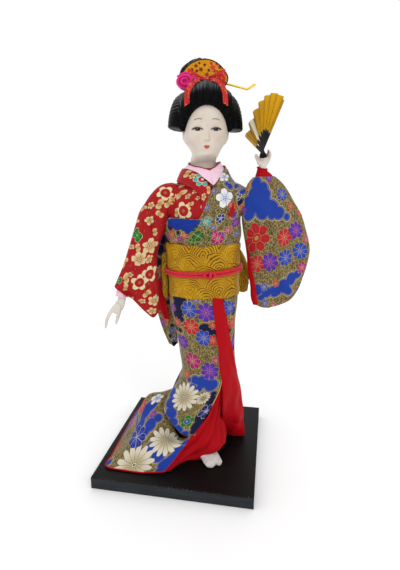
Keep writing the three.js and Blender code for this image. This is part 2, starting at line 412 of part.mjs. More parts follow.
const bow = join(ball([-7.6, -8.2, 282.2], [5.6, 2.1, 3.6], 10, 6), ball([6.6, -8.0, 282.4], [6.2, 2.1, 3.6], 10, 6), ball([-0.8, -8.8, 280.8], [2.8, 2.4, 2.4], 8, 6));
add(headGroup, 'ribbon_bow', main(cut(bow, crown(GAP), rollG)), 0xd23a2e, 0.6);
const tail = (s) => loft(pathRings(s > 0
  ? [[8.0, -13.9, 278.6], [9.8, -17.0, 273.4], [11.0, -18.6, 267.6], [11.5, -18.9, 261.6]]
  : [[-8.6, -13.8, 278.2], [-11.2, -16.8, 273], [-12.6, -18.2, 267.4], [-13.0, -18.4, 261.4]], 5, () => [1.9, 0.4], 6));
add(headGroup, 'ribbon_tail_left', main(cut(tail(1), rollG, bow)), 0xd23a2e, 0.6);
add(headGroup, 'ribbon_tail_right', main(cut(tail(-1), rollG, bow)), 0xd23a2e, 0.6);
const rose = ball([-14.8, -8.4, 279.6], [6.2, 4.6, 6], 12, 8);
add(headGroup, 'rose', main(cut(rose, crown(GAP), rollG, bun(GAP), wing(-1, GAP), ball([-7.6, -8.2, 282.2], [6.0, 2.5, 4.0], 10, 6), tail(-1))), 0xd81b84, 0.5);

// ---------------------------------------------------------------- folding fan
{
  const put = (m, k) => { m.matrixAutoUpdate = false; m.matrix.copy(ribFrame(k)); };
  for (let k = 0; k < FAN_RIBS; k++) {
    const guard = k === 0 || k === FAN_RIBS - 1, w = guard ? 1.3 : 1.0, long = guard ? FAN_RADIUS : FAN_RADIUS - 1.5;
    const s = new THREE.Shape([new THREE.Vector2(-1.9, -0.75), new THREE.Vector2(0, -1.25), new THREE.Vector2(long, -w), new THREE.Vector2(long, w), new THREE.Vector2(0, 1.25), new THREE.Vector2(-1.9, 0.75)]);
    s.holes.push(new THREE.Path().absarc(0, 0, 0.78, 0, 2 * Math.PI, true));
    const name = k === 0 ? 'fan_guard_rear' : guard ? 'fan_guard_front' : 'fan_rib_' + k;
    put(add(doll, name, new THREE.ExtrudeGeometry(s, { depth: RIB_T, bevelEnabled: false, curveSegments: 5 }), 0x121212, 0.5), k);
    if (k < FAN_RIBS - 1) {
      const a0 = 0.004, a1 = FAN_STEP - 0.004;
      const leaf = [[LEAF_INNER, a0], [FAN_RADIUS, a0], [FAN_RADIUS, (a0 + a1) / 2], [FAN_RADIUS, a1], [LEAF_INNER, a1]].map(([r, a]) => new THREE.Vector2(r * Math.cos(a), -r * Math.sin(a)));
      const g = new THREE.ExtrudeGeometry(new THREE.Shape(leaf), { depth: LEAF_T, bevelEnabled: false }).translate(0, 0, RIB_T + 0.09);
      put(add(doll, 'fan_leaf_' + (k + 1), g, 0xd4a017, 0.35, 0.6), k);
    }
  }
  const rivet = new THREE.CylinderGeometry(0.7, 0.7, FAN_RIBS * RIB_PITCH + 0.3, 10).rotateX(Math.PI / 2).translate(0, 0, (FAN_RIBS * RIB_PITCH) / 2 - 0.15);
  put(add(doll, 'fan_rivet', rivet, 0xc9a23a, 0.3, 1), 0);
}

export default part;
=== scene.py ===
import math

import bmesh
import bpy
import numpy as np
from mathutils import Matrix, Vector


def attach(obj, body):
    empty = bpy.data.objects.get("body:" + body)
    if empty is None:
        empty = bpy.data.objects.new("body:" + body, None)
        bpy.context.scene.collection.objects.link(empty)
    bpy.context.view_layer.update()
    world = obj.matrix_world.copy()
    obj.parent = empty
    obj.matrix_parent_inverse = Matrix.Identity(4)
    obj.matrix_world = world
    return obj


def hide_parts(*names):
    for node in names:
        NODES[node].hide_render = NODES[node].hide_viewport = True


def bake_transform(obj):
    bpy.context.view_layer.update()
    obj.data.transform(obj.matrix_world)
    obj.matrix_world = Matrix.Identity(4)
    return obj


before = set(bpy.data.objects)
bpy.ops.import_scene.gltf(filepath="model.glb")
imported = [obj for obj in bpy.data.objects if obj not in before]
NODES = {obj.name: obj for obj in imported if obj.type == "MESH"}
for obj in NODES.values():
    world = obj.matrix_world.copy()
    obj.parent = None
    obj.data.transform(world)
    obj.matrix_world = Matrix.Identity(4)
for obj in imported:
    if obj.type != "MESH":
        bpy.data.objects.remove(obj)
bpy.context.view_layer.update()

rng = np.random.default_rng(11)
pi = math.pi
INFO = {}

# ---------------------------------------------------------------- frames
CT, ST = math.cos(math.radians(10)), math.sin(math.radians(10))
CH, SH = math.cos(math.radians(3.5)), math.sin(math.radians(3.5))


def W(P):
    """Doll frame in millimetres to the shared frame in metres."""
    P = np.asarray(P, float)
    x, y, z = P[..., 0], P[..., 1], P[..., 2]
    return np.stack([15 + x * CT - y * ST, 2 + x * ST + y * CT, z + 9], -1) * 1e-3


def HD(P):
    """Head frame to doll frame, both in millimetres."""
    P = np.asarray(P, float)
    return np.stack([.4 + P[..., 0] * CH - P[..., 1] * SH, 1.5 + P[..., 0] * SH + P[..., 1] * CH, P[..., 2]], -1)


AZ, EL, FOCAL = math.radians(9.883), math.radians(13.286), 397.69
EYE = np.array([63.32, -296.11, 215.46])
RIGHT = np.array([math.cos(AZ), math.sin(AZ), 0])
FWD = np.array([-math.sin(AZ) * math.cos(EL), math.cos(AZ) * math.cos(EL), -math.sin(EL)])
UP = np.cross(RIGHT, FWD)


def pixel(P):
    """Image point and depth of points in the shared frame, in millimetres."""
    d = np.asarray(P, float) - EYE
    z = d @ FWD
    return 200 + FOCAL * (d @ RIGHT) / z, 285 - FOCAL * (d @ UP) / z, z


def at(u, v, y):
    """Doll-frame point of an image point, on the plane of that y."""
    d = FWD + RIGHT * ((u - 200) / FOCAL) - UP * ((v - 285) / FOCAL)
    n, o = np.array([-ST, CT, 0]), np.array([15.0, 2, 9])
    P = EYE + d * ((y - n @ (EYE - o)) / (n @ d)) - o
    return np.array([P[0] * CT + P[1] * ST, -P[0] * ST + P[1] * CT, P[2]])


# ---------------------------------------------------------------- mesh helpers
def spline(P, n, closed=False):
    """n points of a smooth curve, or n rows of a smooth surface, through the rows of P."""
    P = np.asarray(P, float)
    if closed:
        P = np.concatenate([P[-3:], P, P[:4]])
    one = (-1,) + (1,) * (P.ndim - 1)
    d = np.sqrt(((P[1:] - P[:-1]) ** 2).sum(-1)).reshape(len(P) - 1, -1).mean(1) + 1e-9
    T = np.concatenate([[0], np.cumsum(d)])
    D = d.reshape(one)
    s = (P[1:] - P[:-1]) / D
    m = np.empty_like(P)
    m[1:-1] = (s[:-1] * D[1:] + s[1:] * D[:-1]) / (D[1:] + D[:-1])
    m[0], m[-1] = s[0], s[-1]
    q = np.linspace(T[3], T[-4], n, endpoint=False) if closed else np.linspace(0, T[-1], n)
    i = np.clip(np.searchsorted(T, q, 'right') - 1, 0, len(P) - 2)
    h = d[i].reshape(one)
    x = (q - T[i]).reshape(one) / h
    return ((1 + 2 * x) * (1 - x) ** 2) * P[i] + x * (1 - x) ** 2 * h * m[i] + x * x * (3 - 2 * x) * P[i + 1] + x * x * (x - 1) * h * m[i + 1]


def surface(rows, nv, nu, closed=False):
    """Smooth grid through rows of control points."""
    return spline(np.stack([spline(r, nu, closed) for r in np.asarray(rows, float)]), nv)


def waves(seed, *coords, n=9, lo=.5, hi=1.5):
    """Smooth noise of about unit size, as a sum of plane waves."""
    r = np.random.default_rng(seed)
    out = 0
    for _ in range(n):
        k = r.normal(size=len(coords))
        k *= r.uniform(lo, hi) / (np.linalg.norm(k) + 1e-9)
        out = out + np.sin(sum(c * a for c, a in zip(coords, k)) * 2 * pi + r.uniform(0, 2 * pi))
    return out / math.sqrt(n / 2)


def smooth01(x, a, b):
    t = np.clip((np.asarray(x, float) - a) / (b - a), 0, 1)
    return t * t * (3 - 2 * t)


def normals(V, closed=False, flip=False):
    if closed:
        du = np.roll(V, -1, 1) - np.roll(V, 1, 1)
    else:
        du = np.gradient(V, axis=1)
    dv = np.gradient(V, axis=0)
    n = np.cross(du, dv)
    n /= np.linalg.norm(n, axis=-1, keepdims=True) + 1e-12
    return -n if flip else n


def new_mesh(name, V, F, mats, uvL=None, mi=None, smooth=True):
    """Object from doll-frame vertices, faces, per-corner UVs in millimetres and material indices."""
    me = bpy.data.meshes.new(name)
    me.from_pydata(W(V).tolist(), [], [list(map(int, f)) for f in F])
    for m in mats:
        me.materials.append(m)
    if uvL is not None:
        lay = me.uv_layers.new(name="uvmm")
        lay.data.foreach_set("uv", np.asarray(uvL, np.float32).ravel())
    if mi is not None:
        me.polygons.foreach_set("material_index", np.asarray(mi, np.int32))
    if smooth:
        me.polygons.foreach_set("use_smooth", np.ones(len(me.polygons), bool))
    me.update()
    o = bpy.data.objects.new(name, me)
    bpy.context.scene.collection.objects.link(o)
    return o


def arc_uv(V, closed=False, ref=.5):
    """Lengths along and across the grid, in millimetres."""
    nv, nu = V.shape[:2]
    E = np.concatenate([V, V[:, :1]], 1) if closed else V
    U = np.concatenate([np.zeros((nv, 1)), np.cumsum(np.linalg.norm(np.diff(E, axis=1), axis=-1), 1)], 1)
    c = int(round(ref * (U.shape[1] - 1)))
    U = U - U[:, c:c + 1]
    Q = np.concatenate([np.zeros((1, E.shape[1])), np.cumsum(np.linalg.norm(np.diff(E, axis=0), axis=-1), 0)], 0)
    return np.stack([U, -Q], -1)


def shell(name, V, mats, t=.5, closed=False, flip=False, ref=.5, rim=None, uv=None):
    """Cloth of thickness t: outer grid V, an inner grid behind it, and rims along open edges."""
    nv, nu = V.shape[:2]
    N = normals(V, closed, flip)
    UV = arc_uv(V, closed, ref) if uv is None else uv[0] if isinstance(uv, tuple) else uv
    verts = np.concatenate([V.reshape(-1, 3), (V - N * t).reshape(-1, 3)])
    k = nv * nu
    i, j = np.meshgrid(np.arange(nv - 1), np.arange(nu if closed else nu - 1), indexing='ij')
    i, j = i.ravel(), j.ravel()
    j1 = (j + 1) % nu
    quad = np.stack([i * nu + j, i * nu + j1, (i + 1) * nu + j1, (i + 1) * nu + j], -1)
    quv = np.stack([UV[i, j], UV[i, j + 1], UV[i + 1, j + 1], UV[i + 1, j]], 1)
    if isinstance(uv, tuple):
        X = uv[1]
        quv = np.where((j < nu // 2)[:, None, None], quv, np.stack([X[i, j], X[i, j + 1], X[i + 1, j + 1], X[i + 1, j]], 1))
    if flip:
        quad, quv = quad[:, ::-1], quv[:, ::-1]
    inner, iuv = quad[:, ::-1] + k, quv[:, ::-1]
    rf, ru = [], []

    def side(a, b, ua, ub):
        q = np.stack([a, a + k, b + k, b], -1)
        w = np.stack([ua, ua, ub, ub], 1)
        if flip:
            q, w = q[:, ::-1], w[:, ::-1]
        rf.append(q)
        ru.append(w)
    jj = np.arange(nu if closed else nu - 1)
    jn = (jj + 1) % nu
    side(jj, jn, UV[0, jj], UV[0, jj + 1])
    b = (nv - 1) * nu
    side(b + jn, b + jj, UV[-1, jj + 1], UV[-1, jj])
    if not closed:
        ii = np.arange(nv - 1)
        side((ii + 1) * nu, ii * nu, UV[ii + 1, 0], UV[ii, 0])
        side(ii * nu + nu - 1, (ii + 1) * nu + nu - 1, UV[ii, -1], UV[ii + 1, -1])
    rims = np.concatenate(rf)
    F = np.concatenate([quad, inner, rims])
    uvL = np.concatenate([quv, iuv, np.concatenate(ru)])
    last = len(mats) - 1
    mi = np.concatenate([np.zeros(len(quad)), np.full(len(inner), min(1, last)), np.full(len(rims), min(1, last) if rim is None else rim)])
    o = new_mesh(name, verts, F, mats, uvL, mi)
    Vw = W(verts) * 1e3
    cen = Vw[F].mean(1)
    nor = np.cross(Vw[F[:, 1]] - Vw[F[:, 0]], Vw[F[:, 3]] - Vw[F[:, 0]])
    INFO[name] = dict(uvL=uvL, cen=cen, nor=nor, outer=len(quad), area=float(np.linalg.norm(nor[:len(quad)], axis=1).sum() * 1e-6))
    return o


def flat_uv(V):
    """Front and back of a flattened bag, each laid out as seen."""
    X = np.concatenate([V, V[:, :1]], 1)
    P, h = X[..., [0, 2]], V.shape[1] // 2
    d = P[:, h] - P[:, 0]
    d /= np.linalg.norm(d, axis=1, keepdims=True)
    c = np.concatenate([np.zeros((len(V), 1)), np.cumsum(np.abs(np.diff(X[..., 1], axis=1)), 1)], 1)  # depth run through towards the edges
    A = P + (c - c[:, [h // 2]])[..., None] * d[:, None]
    B = P - (c - c[:, [h + h // 2]])[..., None] * d[:, None]
    return A, np.stack([300 - B[..., 0], B[..., 1]], -1)


def frames(P, up=(0, 1, 0), closed=False):
    """Tangents and two side vectors along a path."""
    T = (np.roll(P, -1, 0) - np.roll(P, 1, 0)) if closed else np.gradient(P, axis=0)
    T /= np.linalg.norm(T, axis=1, keepdims=True) + 1e-12
    A = np.cross(T, np.asarray(up, float))
    A /= np.linalg.norm(A, axis=1, keepdims=True) + 1e-12
    return T, A, np.cross(A, T)


def tube(name, P, r, mats, n=12, closed=False, up=(0, 1, 0), shape=None, caps=True, sub=None):
    """Round or shaped bar along P. r is a radius, an array, or pairs (across, along up). shape(t, q) scales the radius."""
    P = np.asarray(P, float)
    m = len(P)
    T, A, B = frames(P, up, closed)
    r = np.asarray(r, float)
    if r.ndim == 0:
        r = np.full((m, 2), float(r))
    elif r.ndim == 1:
        r = np.stack([r, r], 1)
    q = 2 * pi * np.arange(n) / n
    s = np.concatenate([[0], np.cumsum(np.linalg.norm(np.diff(P, axis=0), axis=1))])
    k = np.ones((m, n)) if shape is None else shape(s[:, None], q[None])
    V = P[:, None] + A[:, None] * (r[:, :1] * np.cos(q) * k)[..., None] + B[:, None] * (r[:, 1:] * np.sin(q) * k)[..., None]
    mm = m if closed else m - 1
    i, j = np.meshgrid(np.arange(mm), np.arange(n), indexing='ij')
    i, j = i.ravel(), j.ravel()
    i1, j1 = (i + 1) % m, (j + 1) % n
    F = np.stack([i * n + j, i * n + j1, i1 * n + j1, i1 * n + j], -1)
    R = float(r.mean())
    s2 = np.concatenate([s, [s[-1] + np.linalg.norm(P[0] - P[-1])]])
    uvL = np.stack([np.stack([s2[i], j * 2 * pi / n * R], -1), np.stack([s2[i], (j + 1) * 2 * pi / n * R], -1),
                    np.stack([s2[i + 1], (j + 1) * 2 * pi / n * R], -1), np.stack([s2[i + 1], j * 2 * pi / n * R], -1)], 1)
    verts = V.reshape(-1, 3)
    F = [list(f) for f in F]
    uvL = [list(map(list, u)) for u in uvL]
    if caps and not closed:
        for ring, c in ((0, P[0]), (m - 1, P[-1])):
            verts = np.concatenate([verts, c[None]])
            z = len(verts) - 1
            for a in range(n):
                b = (a + 1) % n
                F.append([z, ring * n + b, ring * n + a] if ring == 0 else [z, ring * n + a, ring * n + b])
                uvL.append([[s[ring], 0], [s[ring], a * R / n], [s[ring], b * R / n]])
    flat = [c for f in uvL for c in f]
    return new_mesh(name, verts, F, mats, flat)


def body(name, rows, mats, nu, nv, close=(True, True), sub=None):
    """Closed form through rings, each a closed loop of control points. The ends close to their centres."""
    G = surface(rows, nv, nu, True)
    if sub is not None:
        G = sub(G)
    return skin(name, G, mats)


def skin(name, G, mats, ref=.5):
    """Closed form from a grid of loops."""
    nv, nu = G.shape[:2]
    UV = arc_uv(G, True, ref)
    i, j = np.meshgrid(np.arange(nv - 1), np.arange(nu), indexing='ij')
    i, j = i.ravel(), j.ravel()
    j1 = (j + 1) % nu
    F = [list(f) for f in np.stack([i * nu + j, i * nu + j1, (i + 1) * nu + j1, (i + 1) * nu + j], -1)]
    uvL = [c for f in np.stack([UV[i, j], UV[i, j + 1], UV[i + 1, j + 1], UV[i + 1, j]], 1) for c in f]
    verts = np.concatenate([G.reshape(-1, 3), G[0].mean(0)[None], G[-1].mean(0)[None]])
    a = nv * nu
    for k in range(nu):
        F.append([a, (k + 1) % nu, k])
        uvL += [UV[0, k], UV[0, k + 1], UV[0, k]]
        F.append([a + 1, (nv - 1) * nu + k, (nv - 1) * nu + (k + 1) % nu])
        uvL += [UV[-1, k], UV[-1, k], UV[-1, k + 1]]
    o = new_mesh(name, verts, F, mats, uvL)
    bm = bmesh.new()
    bm.from_mesh(o.data)
    bmesh.ops.recalc_face_normals(bm, faces=bm.faces)
    bm.to_mesh(o.data)
    bm.free()
    return o


def modified(o):
    """The object's mesh with its modifiers applied."""
    dg = bpy.context.evaluated_depsgraph_get()
    me = bpy.data.meshes.new_from_object(o.evaluated_get(dg))
    o.modifiers.clear()
    o.data = me
    return o


def fused(name, parts, mat, voxel=.4, smooth=6):
    """One smooth skin round several closed forms."""
    for p in parts:
        p.select_set(False)
    bm = bmesh.new()
    for p in parts:
        bm.from_mesh(p.data)
    me = bpy.data.meshes.new(name)
    bm.to_mesh(me)
    bm.free()
    for p in parts:
        bpy.data.objects.remove(p)
    o = bpy.data.objects.new(name, me)
    bpy.context.scene.collection.objects.link(o)
    r = o.modifiers.new("r", 'REMESH')
    r.mode, r.voxel_size = 'VOXEL', voxel * 1e-3
    s = o.modifiers.new("s", 'SMOOTH')
    s.factor, s.iterations = .5, smooth
    modified(o)
    o.data.materials.clear()
    o.data.materials.append(mat)
    o.data.polygons.foreach_set("use_smooth", np.ones(len(o.data.polygons), bool))
    return o


# ---------------------------------------------------------------- node helpers
def rgb(r, g, b):
    f = lambda c: c / 12.92 if c <= .04045 else ((c + .055) / 1.055) ** 2.4
    return (f(r / 255), f(g / 255), f(b / 255), 1.0)


class E:
    """A value in a node tree, with arithmetic."""

    def __init__(self, m, s):
        self.m, self.s = m, s

    def __add__(self, o): return self.m.math('ADD', self, o)
    def __radd__(self, o): return self.m.math('ADD', o, self)
    def __sub__(self, o): return self.m.math('SUBTRACT', self, o)
    def __rsub__(self, o): return self.m.math('SUBTRACT', o, self)
    def __mul__(self, o): return self.m.math('MULTIPLY', self, o)
    def __rmul__(self, o): return self.m.math('MULTIPLY', o, self)
    def __truediv__(self, o): return self.m.math('DIVIDE', self, o)
    def __rtruediv__(self, o): return self.m.math('DIVIDE', o, self)
    def __neg__(self): return self.m.math('MULTIPLY', self, -1.0)
    def __lt__(self, o): return self.m.math('LESS_THAN', self, o)
    def __gt__(self, o): return self.m.math('GREATER_THAN', self, o)


class M:
    """A procedural material."""

    def __init__(self, name, **k):
        self.mat = bpy.data.materials.new(name)
        self.mat.use_nodes = True
        self.t = self.mat.node_tree
        self.t.nodes.clear()
        self.b = self.t.nodes.new('ShaderNodeBsdfPrincipled')
        out = self.t.nodes.new('ShaderNodeOutputMaterial')
        self.t.links.new(self.b.outputs[0], out.inputs[0])
        for key, v in k.items():
            self.b.inputs[key.replace('_', ' ')].default_value = v

    def n(self, kind, **p):
        x = self.t.nodes.new('ShaderNode' + kind)
        for a, b in p.items():
            setattr(x, a, b)
        return x

    def put(self, sock, v):
        if isinstance(v, E):
            self.t.links.new(v.s, sock)
        else:
            sock.default_value = v

    def math(self, op, *a, clamp=False):
        x = self.n('Math', operation=op, use_clamp=clamp)
        for s, v in zip(x.inputs, a):
            self.put(s, v)
        return E(self, x.outputs[0])

    def abs(self, a): return self.math('ABSOLUTE', a)
    def sin(self, a): return self.math('SINE', a)
    def cos(self, a): return self.math('COSINE', a)
    def fract(self, a): return self.math('FRACT', a)
    def floor(self, a): return self.math('FLOOR', a)
    def min(self, a, b): return self.math('MINIMUM', a, b)
    def max(self, a, b): return self.math('MAXIMUM', a, b)
    def sqrt(self, a): return self.math('SQRT', a)
    def pow(self, a, b): return self.math('POWER', a, b)
    def hyp(self, a, b): return self.math('SQRT', a * a + b * b)

    def step(self, x, a, b):
        """Smooth step from 0 at a to 1 at b."""
        k = self.n('MapRange', interpolation_type='SMOOTHSTEP')
        for s, v in zip(k.inputs, (x, a, b, 0.0, 1.0)):
            self.put(s, v)
        return E(self, k.outputs[0])

    def mix(self, f, a, b):
        k = self.n('Mix', data_type='RGBA')
        self.put(k.inputs[0], f)
        self.put(k.inputs[6], a)
        self.put(k.inputs[7], b)
        return E(self, k.outputs[2])

    def scale(self, c, f):
        """Colour times a number."""
        k = self.n('Mix', data_type='RGBA', blend_type='MULTIPLY')
        self.put(k.inputs[0], 1.0)
        self.put(k.inputs[6], c)
        g = self.n('CombineColor')
        for s in g.inputs:
            self.put(s, f)
        self.put(k.inputs[7], E(self, g.outputs[0]))
        return E(self, k.outputs[2])

    def split(self, v):
        k = self.n('SeparateXYZ')
        self.put(k.inputs[0], v)
        return [E(self, s) for s in k.outputs]

    def vec(self, x, y, z=0.0):
        k = self.n('CombineXYZ')
        for s, v in zip(k.inputs, (x, y, z)):
            self.put(s, v)
        return E(self, k.outputs[0])

    def uv(self):
        k = self.n('UVMap', uv_map="uvmm")
        u, v, _ = self.split(E(self, k.outputs[0]))
        return u, v

    def attr(self, name):
        return self.split(E(self, self.n('Attribute', attribute_name=name).outputs['Vector']))

    def attrc(self, name):
        return E(self, self.n('Attribute', attribute_name=name).outputs['Color'])

    def obj(self):
        """Position in millimetres."""
        k = self.n('TexCoord')
        m = self.n('VectorMath', operation='SCALE')
        self.put(m.inputs[0], E(self, k.outputs['Object']))
        m.inputs[3].default_value = 1000.0
        return E(self, m.outputs[0])

    def noise(self, v, scale, detail=3.0, rough=.5):
        k = self.n('TexNoise')
        self.put(k.inputs['Vector'], v)
        k.inputs['Scale'].default_value = scale
        k.inputs['Detail'].default_value = detail
        k.inputs['Roughness'].default_value = rough
        return E(self, k.outputs[0])

    def cells(self, v, scale, rand=1.0, feature='F1'):
        k = self.n('TexVoronoi', feature=feature)
        self.put(k.inputs['Vector'], v)
        k.inputs['Scale'].default_value = scale
        k.inputs['Randomness'].default_value = rand
        if feature == 'DISTANCE_TO_EDGE':
            return E(self, k.outputs['Distance'])
        c = self.n('SeparateColor')
        self.t.links.new(k.outputs['Color'], c.inputs[0])
        return E(self, k.outputs['Distance']), E(self, c.outputs[0]), E(self, c.outputs[1])

    def ramp(self, f, *stops):
        k = self.n('ValToRGB')
        cr = k.color_ramp
        while len(cr.elements) < len(stops):
            cr.elements.new(.5)
        for e, (p, c) in zip(cr.elements, stops):
            e.position, e.color = p, c
        self.put(k.inputs[0], f)
        return E(self, k.outputs[0])

    def bump(self, h, strength=.3, dist=.0003, normal=None):
        k = self.n('Bump')
        k.inputs['Strength'].default_value = strength
        k.inputs['Distance'].default_value = dist
        self.put(k.inputs['Height'], h)
        if normal is not None:
            self.put(k.inputs['Normal'], normal)
        return E(self, k.outputs[0])

    def done(self, base=None, rough=None, normal=None, **k):
        if base is not None:
            self.put(self.b.inputs['Base Color'], base)
        if rough is not None:
            self.put(self.b.inputs['Roughness'], rough)
        if normal is not None:
            self.put(self.b.inputs['Normal'], normal)
        for a, v in k.items():
            self.put(self.b.inputs[a.replace('_', ' ')], v)
        return self.mat


def weave(m, u, v, pitch=.42):
    """Height of a plain weave."""
    a = m.sin(u * (2 * pi / pitch))
    b = m.sin(v * (2 * pi / pitch))
    return a * b * .5 + .5


# ---------------------------------------------------------------- flowers and clouds on cloth, some navy clouds standing for painted shade
GOLD, PALE = rgb(196, 160, 74), rgb(232, 216, 160)
KINDS = {  # petals, centre size, petal colour, inner colour, outline
    'b': (8, .20, rgb(28, 60, 162), rgb(40, 74, 178), rgb(170, 152, 102)),
    'r': (8, .22, rgb(176, 24, 44), rgb(190, 44, 58), rgb(176, 150, 92)),
    'p': (8, .22, rgb(70, 44, 148), rgb(92, 56, 158), rgb(186, 96, 118)),
    'm': (7, .20, rgb(152, 20, 98), rgb(172, 42, 118), rgb(192, 160, 98)),
    'w': (14, .12, rgb(208, 200, 180), rgb(184, 170, 134), rgb(62, 48, 22)),
    'n': (5, .20, rgb(18, 24, 92), rgb(26, 36, 114), rgb(208, 206, 198)),
    'g': (5, .40, rgb(18, 108, 40), rgb(34, 70, 160), rgb(168, 158, 96)),
    'c': (5, .22, rgb(210, 190, 146), rgb(190, 146, 88), rgb(140, 70, 30)),
    'l': (3, .10, rgb(190, 150, 76), rgb(206, 184, 124), rgb(128, 76, 28)),
    't': (6, .28, rgb(54, 130, 138), rgb(84, 150, 150), rgb(200, 186, 140)),
    'o': (6, .28, rgb(190, 152, 70), rgb(172, 34, 42), rgb(132, 86, 32)),
    'h': (5, .17, rgb(226, 224, 216), rgb(196, 204, 222), rgb(44, 60, 132)),
    'd': (4, .08, rgb(16, 86, 32), rgb(22, 104, 42), rgb(172, 160, 98)),
    'q': (7, .30, rgb(174, 18, 32), rgb(150, 10, 26), rgb(160, 134, 74)),
    'k': (5, .52, rgb(218, 202, 160), rgb(162, 16, 28), rgb(150, 100, 48)),
    'u': (6, .44, rgb(74, 160, 150), rgb(172, 30, 36), rgb(226, 220, 196)),
    'v': (2, .05, rgb(28, 104, 36), rgb(44, 124, 52), rgb(216, 202, 162)),
    'y': (2, .05, rgb(206, 182, 134), rgb(186, 140, 84), rgb(150, 92, 44)),
    'e': (7, .10, rgb(24, 48, 138), rgb(30, 58, 152), rgb(206, 198, 166)),
}
BLUE, NAVY, REDC, GREEN = rgb(27, 58, 150), rgb(14, 19, 56), rgb(160, 20, 34), rgb(30, 92, 70)


def cloth_point(name, u, v):
    """UV and depth of the cloth's front face under an image point."""
    i = INFO[name]
    n = i['outer']
    pu, pv, z = pixel(i['cen'][:n])
    d = np.hypot(pu - u, pv - v)
    facing = ((i['cen'][:n] - EYE) * i['nor'][:n]).sum(1) < 0
    k = np.where(facing, d + .02 * (z - z.min()), d + 60)
    f = int(np.argmin(k))
    return i['uvL'][f].mean(0), z[f], d[f]


def motifs(o, seen=(), clouds_and_shade=(), fill='brpmbrnw', size=(3.4, 5.0), gap=1.34, cfill=((BLUE, 9),), seed=1, tries=2600, cr=(4.0, 7.5)):
    """Flower and cloud coordinates on every corner: placed ones first, then a scatter over the rest. Some placed navy
    clouds stand for painted shade.
    """
    i = INFO[o.name]
    uvL = np.asarray(i['uvL'], float)
    c = uvL.mean(1)
    r = np.random.default_rng(seed)
    fl, cl = [], []
    for (u, v, rad, kind) in seen:
        q, z, miss = cloth_point(o.name, u, v)
        if miss < 6:
            fl.append((q[0], q[1], rad * z / FOCAL, kind))
    for (u, v, rad, col) in clouds_and_shade:
        q, z, miss = cloth_point(o.name, u, v)
        if miss < 14:
            cl.append((q[0], q[1], rad * z / FOCAL, col))
    span = c[:i['outer']]
    ncl = len(cl)
    placed = np.array([f[:3] for f in fl]) if fl else np.zeros((0, 3))
    for k in range(tries):
        q = span[r.integers(len(span))] + r.normal(0, .4, 2)
        rad = r.uniform(*size)
        if len(placed) and (np.hypot(placed[:, 0] - q[0], placed[:, 1] - q[1]) < gap * (placed[:, 2] + rad)).any():
            continue
        if ncl and any(math.hypot(a[0] - q[0], a[1] - q[1]) < a[2] for a in cl) and r.random() < .93:
            continue
        fl.append((q[0], q[1], rad, fill[r.integers(len(fill))]))
        placed = np.array([f[:3] for f in fl])
    far = np.array([f[:2] for f in cl]) if cl else np.zeros((0, 2))
    for col, count in cfill:
        for k in range(count):
            q = span[r.integers(len(span))]
            if len(far) and np.hypot(far[:, 0] - q[0], far[:, 1] - q[1]).min() < 26:
                continue
            for w in range(r.integers(5, 9)):
                e = r.normal(0, 6.0, 2) * (1.5, .8)
                cl.append((q[0] + e[0], q[1] + e[1], r.uniform(*cr), col))
    if not cl:
        cl.append((1e4, 1e4, 1.0, BLUE))
    fc = np.array([f[:3] for f in fl])
    best, dist = np.zeros(len(c), int), np.full(len(c), 1e9)
    for a in range(len(fc)):
        d = np.hypot(c[:, 0] - fc[a, 0], c[:, 1] - fc[a, 1]) / fc[a, 2]
        s = d < dist
        best[s], dist[s] = a, d[s]
    turn = r.uniform(0, 2 * pi, len(fc))
    rel = (uvL - fc[best][:, None, :2]) / fc[best][:, None, 2:]
    kinds = [KINDS[f[3]] for f in fl]
    cc = np.array([f[:3] for f in cl])
    cb, cd = np.zeros(len(c), int), np.full(len(c), -1e9)
    for a in range(len(cc)):
        d = cc[a, 2] - np.hypot(c[:, 0] - cc[a, 0], c[:, 1] - cc[a, 1])
        s = d > cd
        cb[s], cd[s] = a, d[s]
    me = o.data

    def corner(name, arr, kind='FLOAT_VECTOR'):
        x = me.attributes.new(name, kind, 'CORNER')
        x.data.foreach_set('vector' if kind == 'FLOAT_VECTOR' else 'color', np.asarray(arr, np.float32).ravel())

    four = lambda a: np.repeat(np.asarray(a, float)[:, None], 4, 1)
    corner('fl', np.concatenate([rel, four(turn[best])[..., None]], -1))
    corner('fn', np.stack([four(np.array([k[0] for k in kinds], float)[best]), four(np.array([k[1] for k in kinds])[best]), four(fc[best, 2])], -1))
    for nm, ix in (('fa', 2), ('fb', 3), ('fo', 4)):
        corner(nm, four(np.array([k[ix] for k in kinds])[best]), 'FLOAT_COLOR')
    corner('cl', np.concatenate([uvL - cc[cb][:, None, :2], four(cc[cb, 2])[..., None]], -1))
    corner('cc', four(np.array([k[3] for k in cl])[cb]), 'FLOAT_COLOR')
    return o


